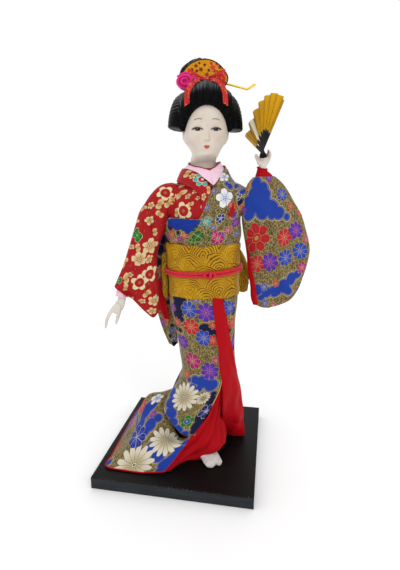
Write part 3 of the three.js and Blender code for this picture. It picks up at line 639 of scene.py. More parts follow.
def brocade(name, ground, specks, outline, cloud_lines=True, sheen=.03, speck_size=.62):
    """Woven brocade: ground with metallic specks, cloud areas with scalloped gold edges, and outlined flowers."""
    m = M(name, Roughness=.55, Sheen_Weight=sheen, Specular_IOR_Level=.14)
    u, v = m.uv()
    p = m.vec(u, v)
    fx, fy, turn = m.attr('fl')
    pet, cen, rad = m.attr('fn')
    fa, fb, fo = m.attrc('fa'), m.attrc('fb'), m.attrc('fo')
    r = m.hyp(fx, fy)
    th = m.math('ARCTAN2', fy, fx) + turn
    a = m.fract(th * pet / (2 * pi) + .5) - .5
    aa = m.abs(a)
    leaf, big = pet < 2.5, cen > .38
    lo = .64 - leaf * .30
    edge = lo + m.cos(a * pi) * (1.0 - lo) - .05 * (1.0 - m.step(aa, .0, .12))
    thick = m.math('DIVIDE', .30, rad)
    inside = m.step(edge - r, 0.0, .03)
    line = 1.0 - m.step(m.abs(edge - thick * .6 - r), thick * .45, thick * .75)
    gapw = (0.5 - aa) * r * (2 * pi) / pet
    vein = (1.0 - m.step(gapw, thick * .35, thick * .62)) * m.step(r, cen, cen + .02) * (1.0 - leaf)
    mid = (1.0 - m.step(aa * r * (2 * pi) / pet, thick * .10, thick * .26)) * m.step(r, cen + .08, cen + .1) * (r < .72)
    core = 1.0 - m.step(r, cen - .03, cen)
    ring = 1.0 - m.step(m.abs(r - cen), thick * .3, thick * .6)
    tint = m.noise(p, .9, 2.0)
    petal = m.mix(m.step(r, .70, .26) * (1.0 - big), fa, fb)
    petal = m.mix(mid * .5, petal, fo)
    petal = m.mix(m.max(line, vein), petal, fo)
    petal = m.mix(core, petal, m.mix(big, m.mix(m.step(r, cen * .35, cen * .6), fo, fa), m.mix(m.step(r, cen * .26, cen * .36), fo, fb)))
    petal = m.mix(ring, petal, fo)
    # ground of flat metallic thread
    d, c1, c2 = m.cells(m.vec(u * 1.0, v * .55), 1 / speck_size)
    gcol = m.ramp(m.min(c1 * .75 + m.noise(p, .5, 3.0) * .34, 1.0), *specks)
    gcol = m.mix(m.step(d, .50, .62) * .8, gcol, ground)
    dx, dy, cr = m.attr('cl')
    depth = cr - m.hyp(dx, dy)
    ccol = m.scale(m.attrc('cc'), .84 + .32 * m.noise(m.vec(u * .25, v * 2.6), 1.2, 2.0))
    inc = m.step(depth, -.05, .05)
    col = m.mix(inc, gcol, ccol)
    if cloud_lines:
        rim = m.max(1.0 - m.step(m.abs(depth - .1), .3, .42), (1.0 - m.step(m.abs(depth - 1.15), .1, .2)) * .7)
        col = m.mix(rim, col, outline)
    col = m.mix(inside, col, petal)
    h = weave(m, u, v)
    col = m.scale(col, .86 + .22 * h + (tint - .5) * .25)
    gold = m.max(m.max(line, vein) * inside, (1.0 - inside) * (1.0 - inc))
    relief = inside * .5 + gold * .25 + h * .45
    return m.done(col, .66 - gold * .2, m.bump(relief, .35, .00025))


def silk(name, c, c2, rough=.55, pitch=.36, sheen=.015, streak=.5, fold=.5):
    """Plain-woven silk with slubs along the weft."""
    m = M(name, Sheen_Weight=sheen, Sheen_Roughness=.4, Specular_IOR_Level=.07)
    u, v = m.uv()
    slub = m.noise(m.vec(u * .35, v * 5.0), .8, 3.0)
    big = m.noise(m.vec(u, v), .06, 2.0)
    h = weave(m, u, v, pitch)
    col = m.mix(m.step(slub, .3, .75) * streak + (big - .5) * fold, c, c2)
    col = m.scale(col, .88 + .16 * h)
    return m.done(col, rough - .08 + slub * .16, m.bump(h * .6 + slub * .5, .25, .00018))


MAT = {}
MAT['brocade'] = brocade('brocade_kimono', rgb(58, 47, 27),
                         [(0, rgb(74, 60, 32)), (.3, rgb(122, 104, 58)), (.55, rgb(164, 147, 94)), (.78, rgb(106, 90, 48)), (1, rgb(186, 174, 126))], rgb(172, 150, 84))
MAT['red_brocade'] = brocade('brocade_red', rgb(160, 12, 20),
                             [(0, rgb(148, 10, 18)), (.55, rgb(170, 16, 24)), (.88, rgb(140, 9, 16)), (1, rgb(184, 112, 60))], rgb(180, 146, 78), True, .03, .9)
MAT['red'] = silk('silk_red', rgb(174, 6, 20), rgb(146, 2, 12))
MAT['pink'] = silk('silk_pink', rgb(238, 204, 220), rgb(226, 184, 204), .5)
MAT['crimson'] = silk('silk_crimson', rgb(160, 22, 54), rgb(126, 12, 38), .5)
MAT['blue'] = silk('silk_blue', rgb(26, 52, 142), rgb(18, 38, 112), .55)
MAT['pale_pink'] = silk('silk_palepink', rgb(236, 200, 214), rgb(222, 178, 196), .5)
MAT['edge'] = silk('edge_gold', rgb(190, 168, 108), rgb(150, 126, 72), .5)


def obi_mat():
    """Gold brocade with overlapping waves of thin arcs."""
    m = M('obi_brocade', Sheen_Weight=.02, Specular_IOR_Level=.12)
    u, v = m.uv()
    p = m.vec(u, v)
    uu = u + (m.noise(p, .07, 2.0) - .5) * 9.0
    vv = v + (m.noise(m.vec(u + 57.0, v), .08, 2.0) - .5) * 7.0
    W_, H_, R_ = 23.0, 8.8, 11.6
    row = m.floor(vv / H_)
    d = None
    for k in (0, 1):
        rk = row - float(k)
        dx = m.fract((uu + m.fract(rk * .5) * W_) / W_) * W_ - W_ / 2
        dist = m.hyp(dx, vv - rk * H_)
        d = dist if d is None else d + (dist - d) * (dist < R_)
    big = m.noise(m.vec(u + 11.0, v), .07, 1.0)
    width = m.step(big, .42, .6) * .09
    lines = 1.0 - m.step(m.abs(m.fract(d / 1.95) - .5), .07 + width, .13 + width)
    dash = m.step(m.noise(m.vec(u * .8, v * .8), 1.3, 2.0), .38, .46)
    lines = lines * m.max(dash, m.step(big, .48, .56))
    h = weave(m, u, v, .5)
    thread = m.noise(m.vec(u * .5, v * 6.0), 1.0, 2.0)
    gold = m.mix(thread, rgb(194, 148, 14), rgb(160, 114, 6))
    gold = m.mix(m.step(m.noise(p, .16, 2.0), .5, .66) * .4, gold, rgb(206, 166, 40))
    line = m.mix(m.step(big, .44, .56), rgb(112, 80, 14), rgb(82, 40, 14))
    col = m.scale(m.mix(lines * .88, gold, line), .86 + .24 * h)
    return m.done(col, .56 - thread * .12, m.bump(h * .5 + (1.0 - lines) * .6, .4, .00028))


def cord_mat():
    m = M('cord_red', Sheen_Weight=.05, Specular_IOR_Level=.2)
    u, v = m.uv()
    h = m.sin((u + v * 1.1) * (2 * pi / .62)) * .5 + .5
    g = m.sin((u - v * 1.1) * (2 * pi / .62)) * .5 + .5
    k = m.max(h, g)
    n = m.noise(m.vec(u, v), 3.0, 2.0)
    col = m.mix(k * .8 + n * .2, rgb(164, 12, 32), rgb(228, 44, 62))
    return m.done(col, .62 - k * .2, m.bump(k, .6, .0003))


def skin_mat(name):
    m = M(name, Coat_Weight=.06, Coat_Roughness=.25, Subsurface_Weight=.1, Subsurface_Scale=.002, Specular_IOR_Level=.3)
    p = m.obj()
    n, f = m.noise(p, .12, 3.0), m.noise(p, 1.6, 4.0)
    col = m.mix(m.step(n, .35, .7), rgb(212, 203, 194), rgb(202, 191, 180))
    return m.done(col, .36 + f * .16, m.bump(f, .06, .0002))


def face_mat():
    m = M('head_painted', Coat_Weight=.1, Coat_Roughness=.22, Subsurface_Weight=.1, Subsurface_Scale=.002, Specular_IOR_Level=.3)
    p = m.obj()
    x, y, z = m.attr('hp')
    n, f = m.noise(p, .12, 3.0), m.noise(p, 1.6, 4.0)
    col = m.mix(m.step(n, .35, .7), rgb(212, 203, 190), rgb(205, 193, 179))
    front = y < -3.0
    ax = m.abs(x + .3)
    sx = x + .3
    # soft colour on the cheeks, lids and nose sides
    blush = (1.0 - m.step(m.hyp((ax - 8.6) / 5.0, (z - 240.6) / 4.0), .1, 1.0)) * .12
    col = m.mix(blush * front, col, rgb(206, 150, 136))
    lid = (1.0 - m.step(m.hyp((ax - 6.3) / 4.6, (z - 248.2) / 2.6), .2, 1.0)) * .3
    col = m.mix(lid * front, col, rgb(186, 150, 136))
    nose = (1.0 - m.step(m.hyp((ax - 1.5) / 1.1, (z - 240.0) / 1.0), .2, 1.0)) * .4
    col = m.mix(nose * front, col, rgb(206, 148, 138))
    # eyes: lids are two arcs, the outer corner is a little higher
    ex = (ax - 6.35) / 3.45
    tilt = (z - 247.2) - ex * .12
    e2 = m.max(1.0 - ex * ex, 0.0)
    upper = 1.1 * m.pow(e2, .75) + .05
    lower = -.85 * m.pow(e2, 1.1)
    inx = m.abs(ex) < 1.0
    white = m.step(upper - tilt, 0.0, .12) * m.step(tilt - lower, 0.0, .12) * inx * front
    col = m.mix(white, col, rgb(188, 180, 172))
    ir = m.hyp(ax - 6.2, tilt - .25)
    iris = (1.0 - m.step(ir, 1.66, 1.84)) * white
    col = m.mix(iris, col, m.mix(m.step(ir, .55, .75), rgb(4, 3, 3), rgb(26, 15, 12)))
    glint = 1.0 - m.step(m.hyp(sx - m.math('SIGN', sx) * 6.2 + .5, tilt - .7), .16, .28)
    col = m.mix(glint * white, col, rgb(236, 236, 234))
    lash = (1.0 - m.step(m.abs(tilt - upper), .44 + .12 * ex, .62 + .12 * ex)) * (m.abs(ex) < 1.14) * front * m.step(tilt - lower, -.3, 0.0)
    col = m.mix(lash * .96, col, rgb(26, 18, 16))
    low = (1.0 - m.step(m.abs(tilt - lower), .08, .24)) * inx * front
    col = m.mix(low * .55, col, rgb(92, 62, 54))
    fold = (1.0 - m.step(m.abs(tilt - upper - 1.0), .1, .3)) * inx * front
    col = m.mix(fold * .32, col, rgb(150, 110, 102))
    # brows
    bx = (ax - 6.1) / 2.9
    bz = z - 253.4 - (1.0 - bx * bx) * .62 + bx * .12
    brow = (1.0 - m.step(m.abs(bz), .2, .56)) * (1.0 - m.step(m.abs(bx), .72, 1.06)) * front
    hairs = m.noise(m.vec(x * 3.0 + z * 2.0, z * .8), 2.2, 2.0)
    col = m.mix(brow * (.5 + hairs * .36), col, rgb(66, 56, 52))
    # lips: two lobes above, one below
    mx, mz = m.abs(sx), z - 236.1
    top = .18 + 1.02 * m.pow(m.max(1.0 - m.pow(m.abs(mx - .75) / 1.5, 2.0), 0.0), .8)
    bot = -1.5 * m.pow(m.max(1.0 - m.pow(mx / 1.85, 2.0), 0.0), .7)
    lips = m.step(top - mz, 0.0, .22) * m.step(mz - bot, 0.0, .3) * (mx < 2.2) * front
    lipc = m.mix(1.0 - m.step(m.abs(mz + .05 + m.cos(sx * 2.2) * .08), .06, .2), rgb(200, 62, 34), rgb(140, 32, 22))
    col = m.mix(lips * .94, col, lipc)
    # soft painted hairline
    fine = m.noise(m.vec(x * 2.4, z * .35, y * .5), 1.2, 3.0)
    hx = x / 15.2
    arch = 263.0 - 14.0 * hx * hx * hx * hx - 2.4 * hx * hx
    haze = m.step(z - arch, -3.0, 1.2) * m.step(fine, .28, .72) * front
    col = m.mix(haze * .75, col, rgb(52, 46, 46))
    rough = .38 + f * .14 - m.max(iris, lips) * .16
    return m.done(col, rough, m.bump(f, .05, .0002))


def hair_mat():
    m = M('hair_black', Specular_IOR_Level=.07, Anisotropic=.45)
    u, v = m.uv()
    a = m.noise(m.vec(u * .035, v * 2.1), 1.0, 4.0, .6)
    b = m.noise(m.vec(u * .02, v * 6.0), 1.0, 2.0)
    c = m.noise(m.vec(u * .05, v * .5), 1.0, 2.0)
    # painted highlight: strands whose normal faces up and to the front are lightened in the colour, standing in for the
    # lamps' gloss on the roll, bun and wings
    nx, ny, nz = m.split(E(m, m.n('NewGeometry').outputs['Normal']))
    up = nz * .92 - ny * .36 - nx * .1
    painted_gloss = m.step(up, .52, .9) * (.25 + .75 * m.step(a, .4, .62)) * (.45 + .8 * m.step(b, .4, .62)) * (.55 + .7 * c)
    col = m.mix(m.step(a, .35, .75), rgb(2, 2, 3), rgb(11, 10, 11))
    col = m.mix(m.min(painted_gloss * .8, 1.0), col, rgb(128, 130, 134))
    return m.done(col, .26 + b * .24 + c * .06, m.bump(a * .7 + b * .45, .55, .0005))


def crown_mat():
    """Gold lacquer with red maple leaves, thin stems and dark marks."""
    m = M('crown_gold', Specular_IOR_Level=.1)
    u, v = m.uv()
    p = m.vec(u, v)
    n, g = m.noise(p, .35, 3.0), m.noise(p, 4.0, 2.0)
    col = m.mix(m.step(n, .35, .7), rgb(196, 128, 8), rgb(206, 144, 18))
    stem = 1.0 - m.step(m.abs(v - 283.4 - 3.2 * m.sin(u * .30 + .6)), .10, .26)
    twig = 1.0 - m.step(m.abs(m.fract((u + v * .9) / 7.4) - .5), .018, .04)
    col = m.mix(m.max(stem, twig * m.step(n, .46, .54)) * .8, col, rgb(104, 58, 20))
    for cx, cz, k, t, c in ((8.6, 285.6, 2.5, .3, (186, 38, 26)), (12.0, 282.0, 1.9, 1.0, (176, 32, 24)), (4.6, 289.2, 2.0, 2.0, (190, 52, 28)), (-8.8, 284.4, 1.8, .6, (150, 46, 22)),
                            (-3.6, 287.6, 1.6, 1.4, (120, 44, 22)), (-11.8, 281.6, 1.5, .2, (96, 48, 22)), (.6, 284.2, 1.5, 2.6, (150, 40, 24)), (9.6, 289.6, 1.5, .9, (110, 50, 22)), (-7.0, 290.0, 1.4, 2.2, (88, 46, 20)),
                            (3.6, 291.8, 1.3, .4, (176, 40, 26)), (7.4, 291.6, 1.3, 1.7, (184, 44, 28)), (1.8, 287.2, 1.2, .8, (74, 40, 18)), (-1.0, 290.6, 1.2, 2.1, (70, 38, 18)), (-4.6, 291.8, 1.1, .1, (80, 44, 20)),
                            (-6.4, 286.6, 1.2, 1.1, (72, 40, 18)), (-9.6, 287.6, 1.2, .5, (78, 42, 20)), (-12.2, 285.0, 1.1, 1.9, (84, 46, 20)), (6.0, 287.0, 1.3, 2.4, (170, 36, 24)), (11.4, 287.0, 1.3, 1.3, (150, 38, 22)), (13.2, 284.6, 1.2, .2, (88, 46, 20)), (12.6, 279.6, 1.6, .7, (180, 40, 26))):
        dx, dz = u - cx, v - cz
        rr = m.hyp(dx, dz)
        th = m.math('ARCTAN2', dz, dx) + t
        lobe = k * (.52 + .48 * m.abs(m.cos(th * 2.5)))
        col = m.mix(m.step(lobe - rr, -.06, .12), col, rgb(*c))
    dots = m.cells(p, 1 / 2.3, .9)
    col = m.mix((1.0 - m.step(dots[0], .12, .2)) * (dots[1] > .66) * .85, col, rgb(70, 40, 18))
    return m.done(m.scale(col, .88 + .24 * g), .5 - n * .14, m.bump(g * .5 + n, .3, .0003))


def crepe_mat(name, c, c2, gold=True, rough=.7):
    m = M(name, Sheen_Weight=.08, Specular_IOR_Level=.2)
    u, v = m.uv()
    n = m.noise(m.vec(u * 1.0, v * 1.6), 1.7, 3.0, .6)
    d, c1, _ = m.cells(m.vec(u, v), 1 / 1.5)
    col = m.mix(m.step(n, .3, .7), c, c2)
    if gold:
        col = m.mix((1.0 - m.step(d, .26, .36)) * (c1 > .5) * .8, col, rgb(222, 148, 108))
    return m.done(col, .6, m.bump(n, rough, .0006))


def metal_mat(name, c, c2, rough=.28, scale=.6):
    m = M(name, Metallic=1.0)
    p = m.obj()
    n, f = m.noise(p, scale, 3.0), m.noise(p, 5.0, 2.0)
    return m.done(m.mix(m.step(n, .35, .65), c, c2), rough + f * .16, m.bump(f, .08, .0001))


def fan_mat():
    m = M('fan_gold', Metallic=.08, Specular_IOR_Level=.14)
    u, v = m.uv()
    n = m.noise(m.vec(u * .6, v * 3.0), 1.0, 3.0)
    leafc = m.cells(m.vec(u, v), 1 / 6.0, .5, 'DISTANCE_TO_EDGE')
    col = m.mix(n, rgb(219, 167, 10), rgb(196, 141, 3))
    col = m.mix((1.0 - m.step(leafc, .008, .02)) * .3, col, rgb(150, 104, 14))
    # painted shade: one face of each pleat is darkened as if turned away from the light
    fold = m.step(m.fract(u / 9.0), .44, .50)
    col = m.scale(col, 1.06 - fold * .34)
    # painted highlight: the pleat face at u 9.2 to 13.2 is painted near white as the foil's reflection
    col = m.mix(m.step(u, 9.2, 9.8) * (1.0 - m.step(u, 12.8, 13.2)) * .95, col, rgb(255, 253, 224))
    f = m.noise(m.vec(u, v), 6.0, 2.0)
    return m.done(col, .4 + f * .16, m.bump(f * .5 + n * .6, .25, .0002))


def lacquer_mat(name, c, c2, rough=.4):
    m = M(name, Coat_Weight=.04, Coat_Roughness=.3, Specular_IOR_Level=.18)
    p = m.obj()
    n, f = m.noise(p, .25, 4.0), m.noise(p, 2.5, 3.0)
    return m.done(m.mix(m.step(n, .35, .7), c, c2), rough + f * .2, m.bump(f, .12, .0002))


def board_mat():
    m = M('board_black', Specular_IOR_Level=.12)
    p = m.obj()
    x, y, z = m.split(p)
    grain = m.noise(m.vec(x * .05, y * 1.3, z * 1.3), .9, 4.0, .6)
    fine = m.noise(p, 3.2, 3.0)
    dust = m.noise(p, .9, 4.0, .65)
    col = m.mix(m.step(grain, .3, .75), rgb(5, 4, 4), rgb(15, 12, 12))
    face = m.step(9.0 - z, .3, .7)
    col = m.mix(face, col, m.mix(m.step(grain, .3, .75), rgb(29, 34, 37), rgb(46, 51, 54)))
    # paint worn from the arrises
    ex = m.min(60.0 - m.abs(x), 60.0 - m.abs(y))
    top, side = m.abs(z - 9.0), m.max(z * -1.0 + 9.0, ex)
    near = m.max(m.min(m.max(top, ex), 5.0), 0.0)
    wear = (1.0 - m.step(near, .25, 1.15)) * m.step(dust, .57, .66)
    vert = (1.0 - m.step(m.max(60.0 - m.abs(x), 60.0 - m.abs(y)), .3, .9)) * m.step(dust, .58, .68)
    col = m.mix(m.max(wear, vert) * .8, col, rgb(130, 124, 116))
    speck = m.step(m.noise(p, 5.5, 1.0), .76, .8) * .35
    col = m.mix(speck, col, rgb(90, 86, 84))
    return m.done(col, .36 + grain * .12 + fine * .14 + wear * .3, m.bump(grain * .6 + fine * .3, .22, .0003))


def cotton_mat(name, c, c2, pitch=.5):
    m = M(name, Sheen_Weight=.05, Specular_IOR_Level=.15)
    p = m.obj()
    x, y, z = m.split(p)
    n = m.noise(p, .3, 3.0)
    h = m.sin((x + y * .3) * (2 * pi / pitch)) * m.sin((z + y * .4) * (2 * pi / pitch)) * .5 + .5
    return m.done(m.scale(m.mix(m.step(n, .35, .7), c, c2), .94 + .1 * h), .82 + n * .1, m.bump(h * .5 + n, .3, .0003))


def straw_mat():
    m = M('core_straw', Specular_IOR_Level=.3)
    p = m.obj()
    x, y, z = m.split(p)
    n = m.noise(m.vec(x * 2.0, y * 2.0, z * .12), .8, 4.0)
    return m.done(m.mix(m.step(n, .3, .7), rgb(206, 184, 132), rgb(166, 138, 84)), .75 + n * .15, m.bump(n, .6, .0008))


def wood_mat():
    m = M('peg_wood', Specular_IOR_Level=.35)
    p = m.obj()
    x, y, z = m.split(p)
    n = m.noise(m.vec(x * 1.6, y * 1.6, z * .1), .9, 4.0)
    return m.done(m.mix(m.step(n, .3, .7), rgb(196, 150, 98), rgb(150, 104, 60)), .6 + n * .15, m.bump(n, .3, .0003))


MAT['obi'] = obi_mat()
MAT['cord'] = cord_mat()
MAT['skin'] = skin_mat('skin')
MAT['face'] = face_mat()
MAT['hair'] = hair_mat()
MAT['crown'] = crown_mat()
MAT['ribbon'] = crepe_mat('ribbon_crepe', rgb(212, 50, 36), rgb(172, 24, 22))
MAT['rose'] = crepe_mat('rose_silk', rgb(232, 46, 140), rgb(200, 18, 108), False, .2)
MAT['gilt'] = metal_mat('gilt', rgb(240, 206, 92), rgb(222, 178, 56))
MAT['steel'] = metal_mat('wire_steel', rgb(168, 168, 172), rgb(132, 132, 138), .34)
MAT['fan'] = fan_mat()
MAT['black'] = lacquer_mat('fan_black', rgb(10, 9, 10), rgb(26, 22, 22))
MAT['board'] = board_mat()
MAT['tabi'] = cotton_mat('tabi_cotton', rgb(205, 199, 195), rgb(188, 182, 177), .55)
MAT['pad'] = cotton_mat('padding_cotton', rgb(236, 230, 220), rgb(218, 208, 194), .9)
MAT['straw'] = straw_mat()
MAT['wood'] = wood_mat()

SHEETS = []


def finish_piece(o, on, nodes=(), blend=None):
    if blend is None:
        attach(o, on)
    if nodes:
        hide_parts(*nodes)
    return o


def cloth(o, flat, held, rests):
    SHEETS.append((o, flat, held, rests))
    return o


# ---------------------------------------------------------------- skirt of the outer kimono
z3 = lambda ring, z: [(x, y, z) for x, y in ring]
SK = [
    z3([(9, -15.8), (20, -10.5), (25.3, .8), (22.5, 10), (13, 16.6), (0, 18.5), (-13, 16.6), (-22.6, 10), (-25.7, .8), (-22.8, -8), (-13, -15.2), (-3, -17.6), (6.5, -17.0)], 133.5),
    z3([(10, -17.4), (21.4, -11), (25.8, .8), (23.2, 10.8), (14, 18.3), (0, 20.6), (-14, 18.3), (-24.4, 10.8), (-27.3, .8), (-24.4, -9), (-14, -16.8), (-3, -19.4), (7.5, -18.9)], 126.5),
    z3([(14.5, -16.6), (22.0, -10.6), (24.6, 1), (23.2, 11.5), (15, 19), (2, 21.5), (-11, 19.5), (-21, 11.5), (-24.4, 1), (-21.4, -9.5), (-11, -16.5), (-1, -19.4), (9, -18.9)], 105),
    z3([(19, -13.4), (22.6, -8), (23.8, 2), (23.4, 12), (16, 20.5), (4, 24), (-8, 21.5), (-16.4, 13), (-19.4, 2), (-17.2, -8), (-9, -15), (1, -18.6), (11.6, -18.6)], 80),
    z3([(24.4, -8.6), (25.2, -3.5), (25.4, 4), (25, 14), (18, 24), (5, 28.5), (-9, 26.5), (-16.4, 17), (-18.4, 4), (-17.2, -8.5), (-11, -16.5), (0, -20.2), (12.7, -18.6)], 62.5),
    [(27.6, -4.6, 44), (30, 0, 44), (31, 7, 44), (29.5, 17, 44), (20.5, 28, 44), (6, 33, 44), (-10, 32, 43), (-21, 24, 42), (-28, 9, 42.5), (-27.4, -6, 43), (-19, -17.5, 43.5), (-6, -23.5, 45), (7.3, -22.3, 46.9)],
    [(30.6, -1, 27), (32.6, 3.5, 27), (33.3, 9.5, 27), (31.5, 19, 27), (22.5, 31, 27), (7, 36.5, 27), (-10, 35.5, 30), (-21.5, 25, 31), (-31, 9, 33), (-32.8, -6.5, 31.5), (-25, -18.6, 26), (-15.2, -27.2, 25), (-5, -29.2, 28)],
    [(32, 1.4, 14), (33.8, 5, 14), (34, 10.5, 14), (32.5, 20, 14), (24, 33.5, 14), (8, 40, 14), (-10, 38, 20), (-21, 25, 26), (-30, 9, 30.5), (-32, -6.5, 28.5), (-23, -18.2, 22), (-13.2, -26.6, 20.8), (-8.0, -30.6, 23.4)],
    [(32.4, 2.4, 6), (34.2, 5.6, 6), (34.4, 11, 6), (33, 20.5, 6), (24.8, 35, 6), (8.3, 41.5, 6), (-10, 39, 13), (-20, 24, 23), (-28, 8, 29), (-29.5, -5, 27), (-20.5, -16.4, 20.6), (-11.6, -24.6, 19.6), (-8.8, -29.6, 22)],
    [(32.6, 3, 1), (34.3, 6, 1), (34.5, 11.4, 1), (33.2, 21, 1), (25, 35.8, 1), (8.4, 42.4, 1), (-9, 40, 8), (-19, 22, 21), (-26, 6, 28), (-27, -3.5, 26.5), (-18, -14.5, 20), (-10.8, -22.6, 19.4), (-9, -28, 21.4)],
]


def skirt_grid(off=0.0, nv=150, nu=250):
    G = surface(SK, nv, nu)
    u = np.linspace(0, 1, nu)[None]
    v = np.linspace(0, 1, nv)[:, None]
    N = normals(G, flip=True)
    low = smooth01(v, .1, .6)
    # soft vertical folds at the sides and back, and pull lines on the front panel
    folds = .55 * np.sin(u * 2 * pi * 9 + 1.5 * np.sin(v * 4)) * smooth01(u, .06, .16) * (1 - smooth01(u, .62, .74)) * low
    pull = .55 * waves(3, u * 5.0, v * 2.2) * (.35 + .65 * low)
    return G + N * (folds + pull + off)[..., None]


G = skirt_grid()
o = shell('kimono_skirt_cloth', G, [MAT['brocade'], MAT['red']], .55, flip=True, ref=.88)
SKIRT_MOTIFS = [(205.9, 312.9, 11, 'p'), (188.7, 309.9, 9.5, 'b'), (190.9, 326.4, 9.5, 'r'), (203.7, 338.4, 9.5, 'b'), (182, 341.4, 8.5, 'p'), (213.4, 340, 7, 'r'), (177, 322, 6, 'r'), (196, 299.5, 4, 'b'),
                (192.4, 361.2, 9.5, 'm'), (210, 371, 10, 'p'), (187, 373.5, 5, 'r'), (216, 361, 5, 'm'), (213, 326, 5, 'r'),
                (184.3, 397.5, 17, 'w'), (203, 398.5, 8, 'w'), (206.5, 411, 9, 'n'), (187, 422, 8, 'g'),
                (229.9, 307.6, 8, 'b'), (232, 322.6, 6.5, 'r'), (233.6, 341, 6, 'p')]
# the NAVY patches from (176, 297) to (182, 330), beside the hanging sleeve, are navy clouds placed to paint the shade
# there; the lower NAVY and the BLUE entries are the cloth's cloud pattern
SKIRT_CLOUDS_AND_SHADE = [(195, 380, 6, BLUE), (203, 382, 8, BLUE), (211, 385, 8, BLUE), (193, 387, 5, BLUE), (199, 389, 5, BLUE), (189, 379, 4, BLUE), (175, 384, 6, BLUE), (172, 393, 7, BLUE), (170, 403, 8, BLUE), (171, 413, 8, BLUE), (173, 422, 7, BLUE), (178, 429, 7, BLUE), (185, 434, 6, BLUE), (192, 438, 5, BLUE),
                (213, 394, 5, NAVY), (211, 401, 7, NAVY), (207, 409, 9, NAVY), (202, 417, 9, NAVY), (197, 425, 8, NAVY), (194, 431, 6, NAVY), (179, 352, 5, BLUE), (180, 312, 6, NAVY), (178, 304, 6, NAVY), (180, 330, 4, NAVY), (181, 364, 5, BLUE), (176, 297, 7, NAVY), (182, 300, 6, NAVY), (177, 306, 7, NAVY), (177, 315, 7, NAVY), (181, 319, 5, NAVY), (176, 326, 6, NAVY)]
motifs(o, SKIRT_MOTIFS, SKIRT_CLOUDS_AND_SHADE, seed=4, cfill=((BLUE, 16), (NAVY, 5)))
edge = tube('skirt_edge_cord', (G[:, -1] + normals(G, flip=True)[:, -1] * .1)[14:112:2], .34, [MAT['edge']], n=8, up=(0, 0, 1))
finish_piece(edge, "body", ())
finish_piece(o, "body", ["kimono_skirt"])
cloth(o, (.30, .175), "gathered", ["torso_core", "right_leg", "base_board"])

# train: from under the skirt's left flank, round the left, to the hem on the board
TR = np.array([
    [(-8.6, -28.2, 24.5), (-15.9, -34.6, 16.2), (-23.3, -39.8, 7.8), (-30, -44, 1.6)],
    [(-15, -24.5, 16.5), (-26, -34.5, 15.4), (-37, -40.6, 7.8), (-45, -44.2, 1)],
    [(-22, -15.5, 14.5), (-37, -27.5, 17.5), (-50, -36.5, 7.6), (-60, -41.6, .9)],
    [(-28, -6.5, 24.5), (-43, -18, 21.5), (-60, -29, 8.5), (-75.8, -36.4, .9)],
    [(-29.5, .5, 27.5), (-46, -6, 26.5), (-61, -14.5, 10.5), (-74.1, -22.6, .9)],
    [(-29, 7, 29), (-46.5, 5.5, 32), (-58.5, 2.5, 13.5), (-70.7, -.5, .9)],
    [(-27, 14, 34), (-44.5, 15, 33), (-55.5, 19, 15.5), (-67.6, 22.6, .9)],
    [(-22, 20, 37.5), (-37, 25, 30.5), (-48, 33, 15), (-63.8, 42.6, .9)],
    [(-15, 24, 38), (-25, 33, 29), (-38, 43, 14), (-57.5, 54, .9)],
    [(-5, 29, 37.5), (-10, 36, 26.5), (-20, 43, 13), (-34, 50, 1)],
    [(4, 31, 36), (3, 35.6, 26), (-2, 40, 14), (-8, 45, 1)],
])
G = spline(np.stack([spline(c, 90) for c in TR]), 190).transpose(1, 0, 2)
u, v = np.linspace(0, 1, 190)[None], np.linspace(0, 1, 90)[:, None]
N = normals(G, flip=True)
if N[45, 60, 2] < 0:
    N = -N
roll = 1.9 * np.exp(-((u - .50) / .07) ** 2) * smooth01(v, .08, .3) * (1 - smooth01(v, .55, .95))
dips = -1.7 * np.exp(-((u - .36 - .10 * v) / .045) ** 2) * smooth01(v, .1, .4) * (1 - smooth01(v, .8, 1)) - 1.2 * np.exp(-((u - .20 - .05 * v) / .04) ** 2) * smooth01(v, .15, .5) * (1 - smooth01(v, .75, 1))
G = G + N * (roll + dips + .5 * waves(5, u * 4, v * 2.4) * smooth01(v, .05, .3) * (1 - .7 * smooth01(v, .85, 1)))[..., None]
G[..., 2] = np.maximum(G[..., 2], .8)
flipT = normals(G)[45, 60, 2] < 0
o = shell('kimono_train_cloth', G, [MAT['brocade'], MAT['red']], .6, flip=bool(flipT), ref=.2)
TRAIN_MOTIFS = [(166.4, 440.3, 19, 'w'), (134, 465, 24, 'w'), (137, 436.7, 12, 'e'), (157, 398, 6.5, 'h'), (143, 405.5, 6, 'r'), (117, 448.5, 5.5, 'r'), (181, 438.5, 6, 'd')]
TRAIN_CLOUDS = [(146, 413, 9, BLUE), (152, 405, 7, BLUE), (140, 424, 8, BLUE), (150, 424, 8, BLUE), (158, 418, 6, BLUE), (134, 416, 6, BLUE), (146, 430, 6, BLUE), (151, 447, 7, BLUE), (158, 456, 9, BLUE), (166, 463, 9, BLUE), (173, 458, 8, BLUE), (178, 450, 7, BLUE), (162, 469, 7, BLUE), (169, 470, 5, BLUE), (109, 462, 5, BLUE), (186, 442, 5, BLUE), (137, 411, 7, BLUE), (133, 418, 7, BLUE), (130, 424, 6, BLUE), (137, 423, 7, BLUE), (142, 406, 5, BLUE), (126, 430, 4, BLUE)]
motifs(o, TRAIN_MOTIFS, TRAIN_CLOUDS, seed=8, cfill=((BLUE, 9), (NAVY, 2)))
finish_piece(o, "body", ())
cloth(o, (.15, .075), "draped", ["base_board"])
hem = G[-1].copy()
edge = np.concatenate([G[40:, 0], hem])
P = spline(edge[::4], 260)
o = tube('train_hem_piping', P + np.array([0, 0, .1]), .55, [MAT['red']], n=10, up=(0, 0, 1))
finish_piece(o, "body", ())

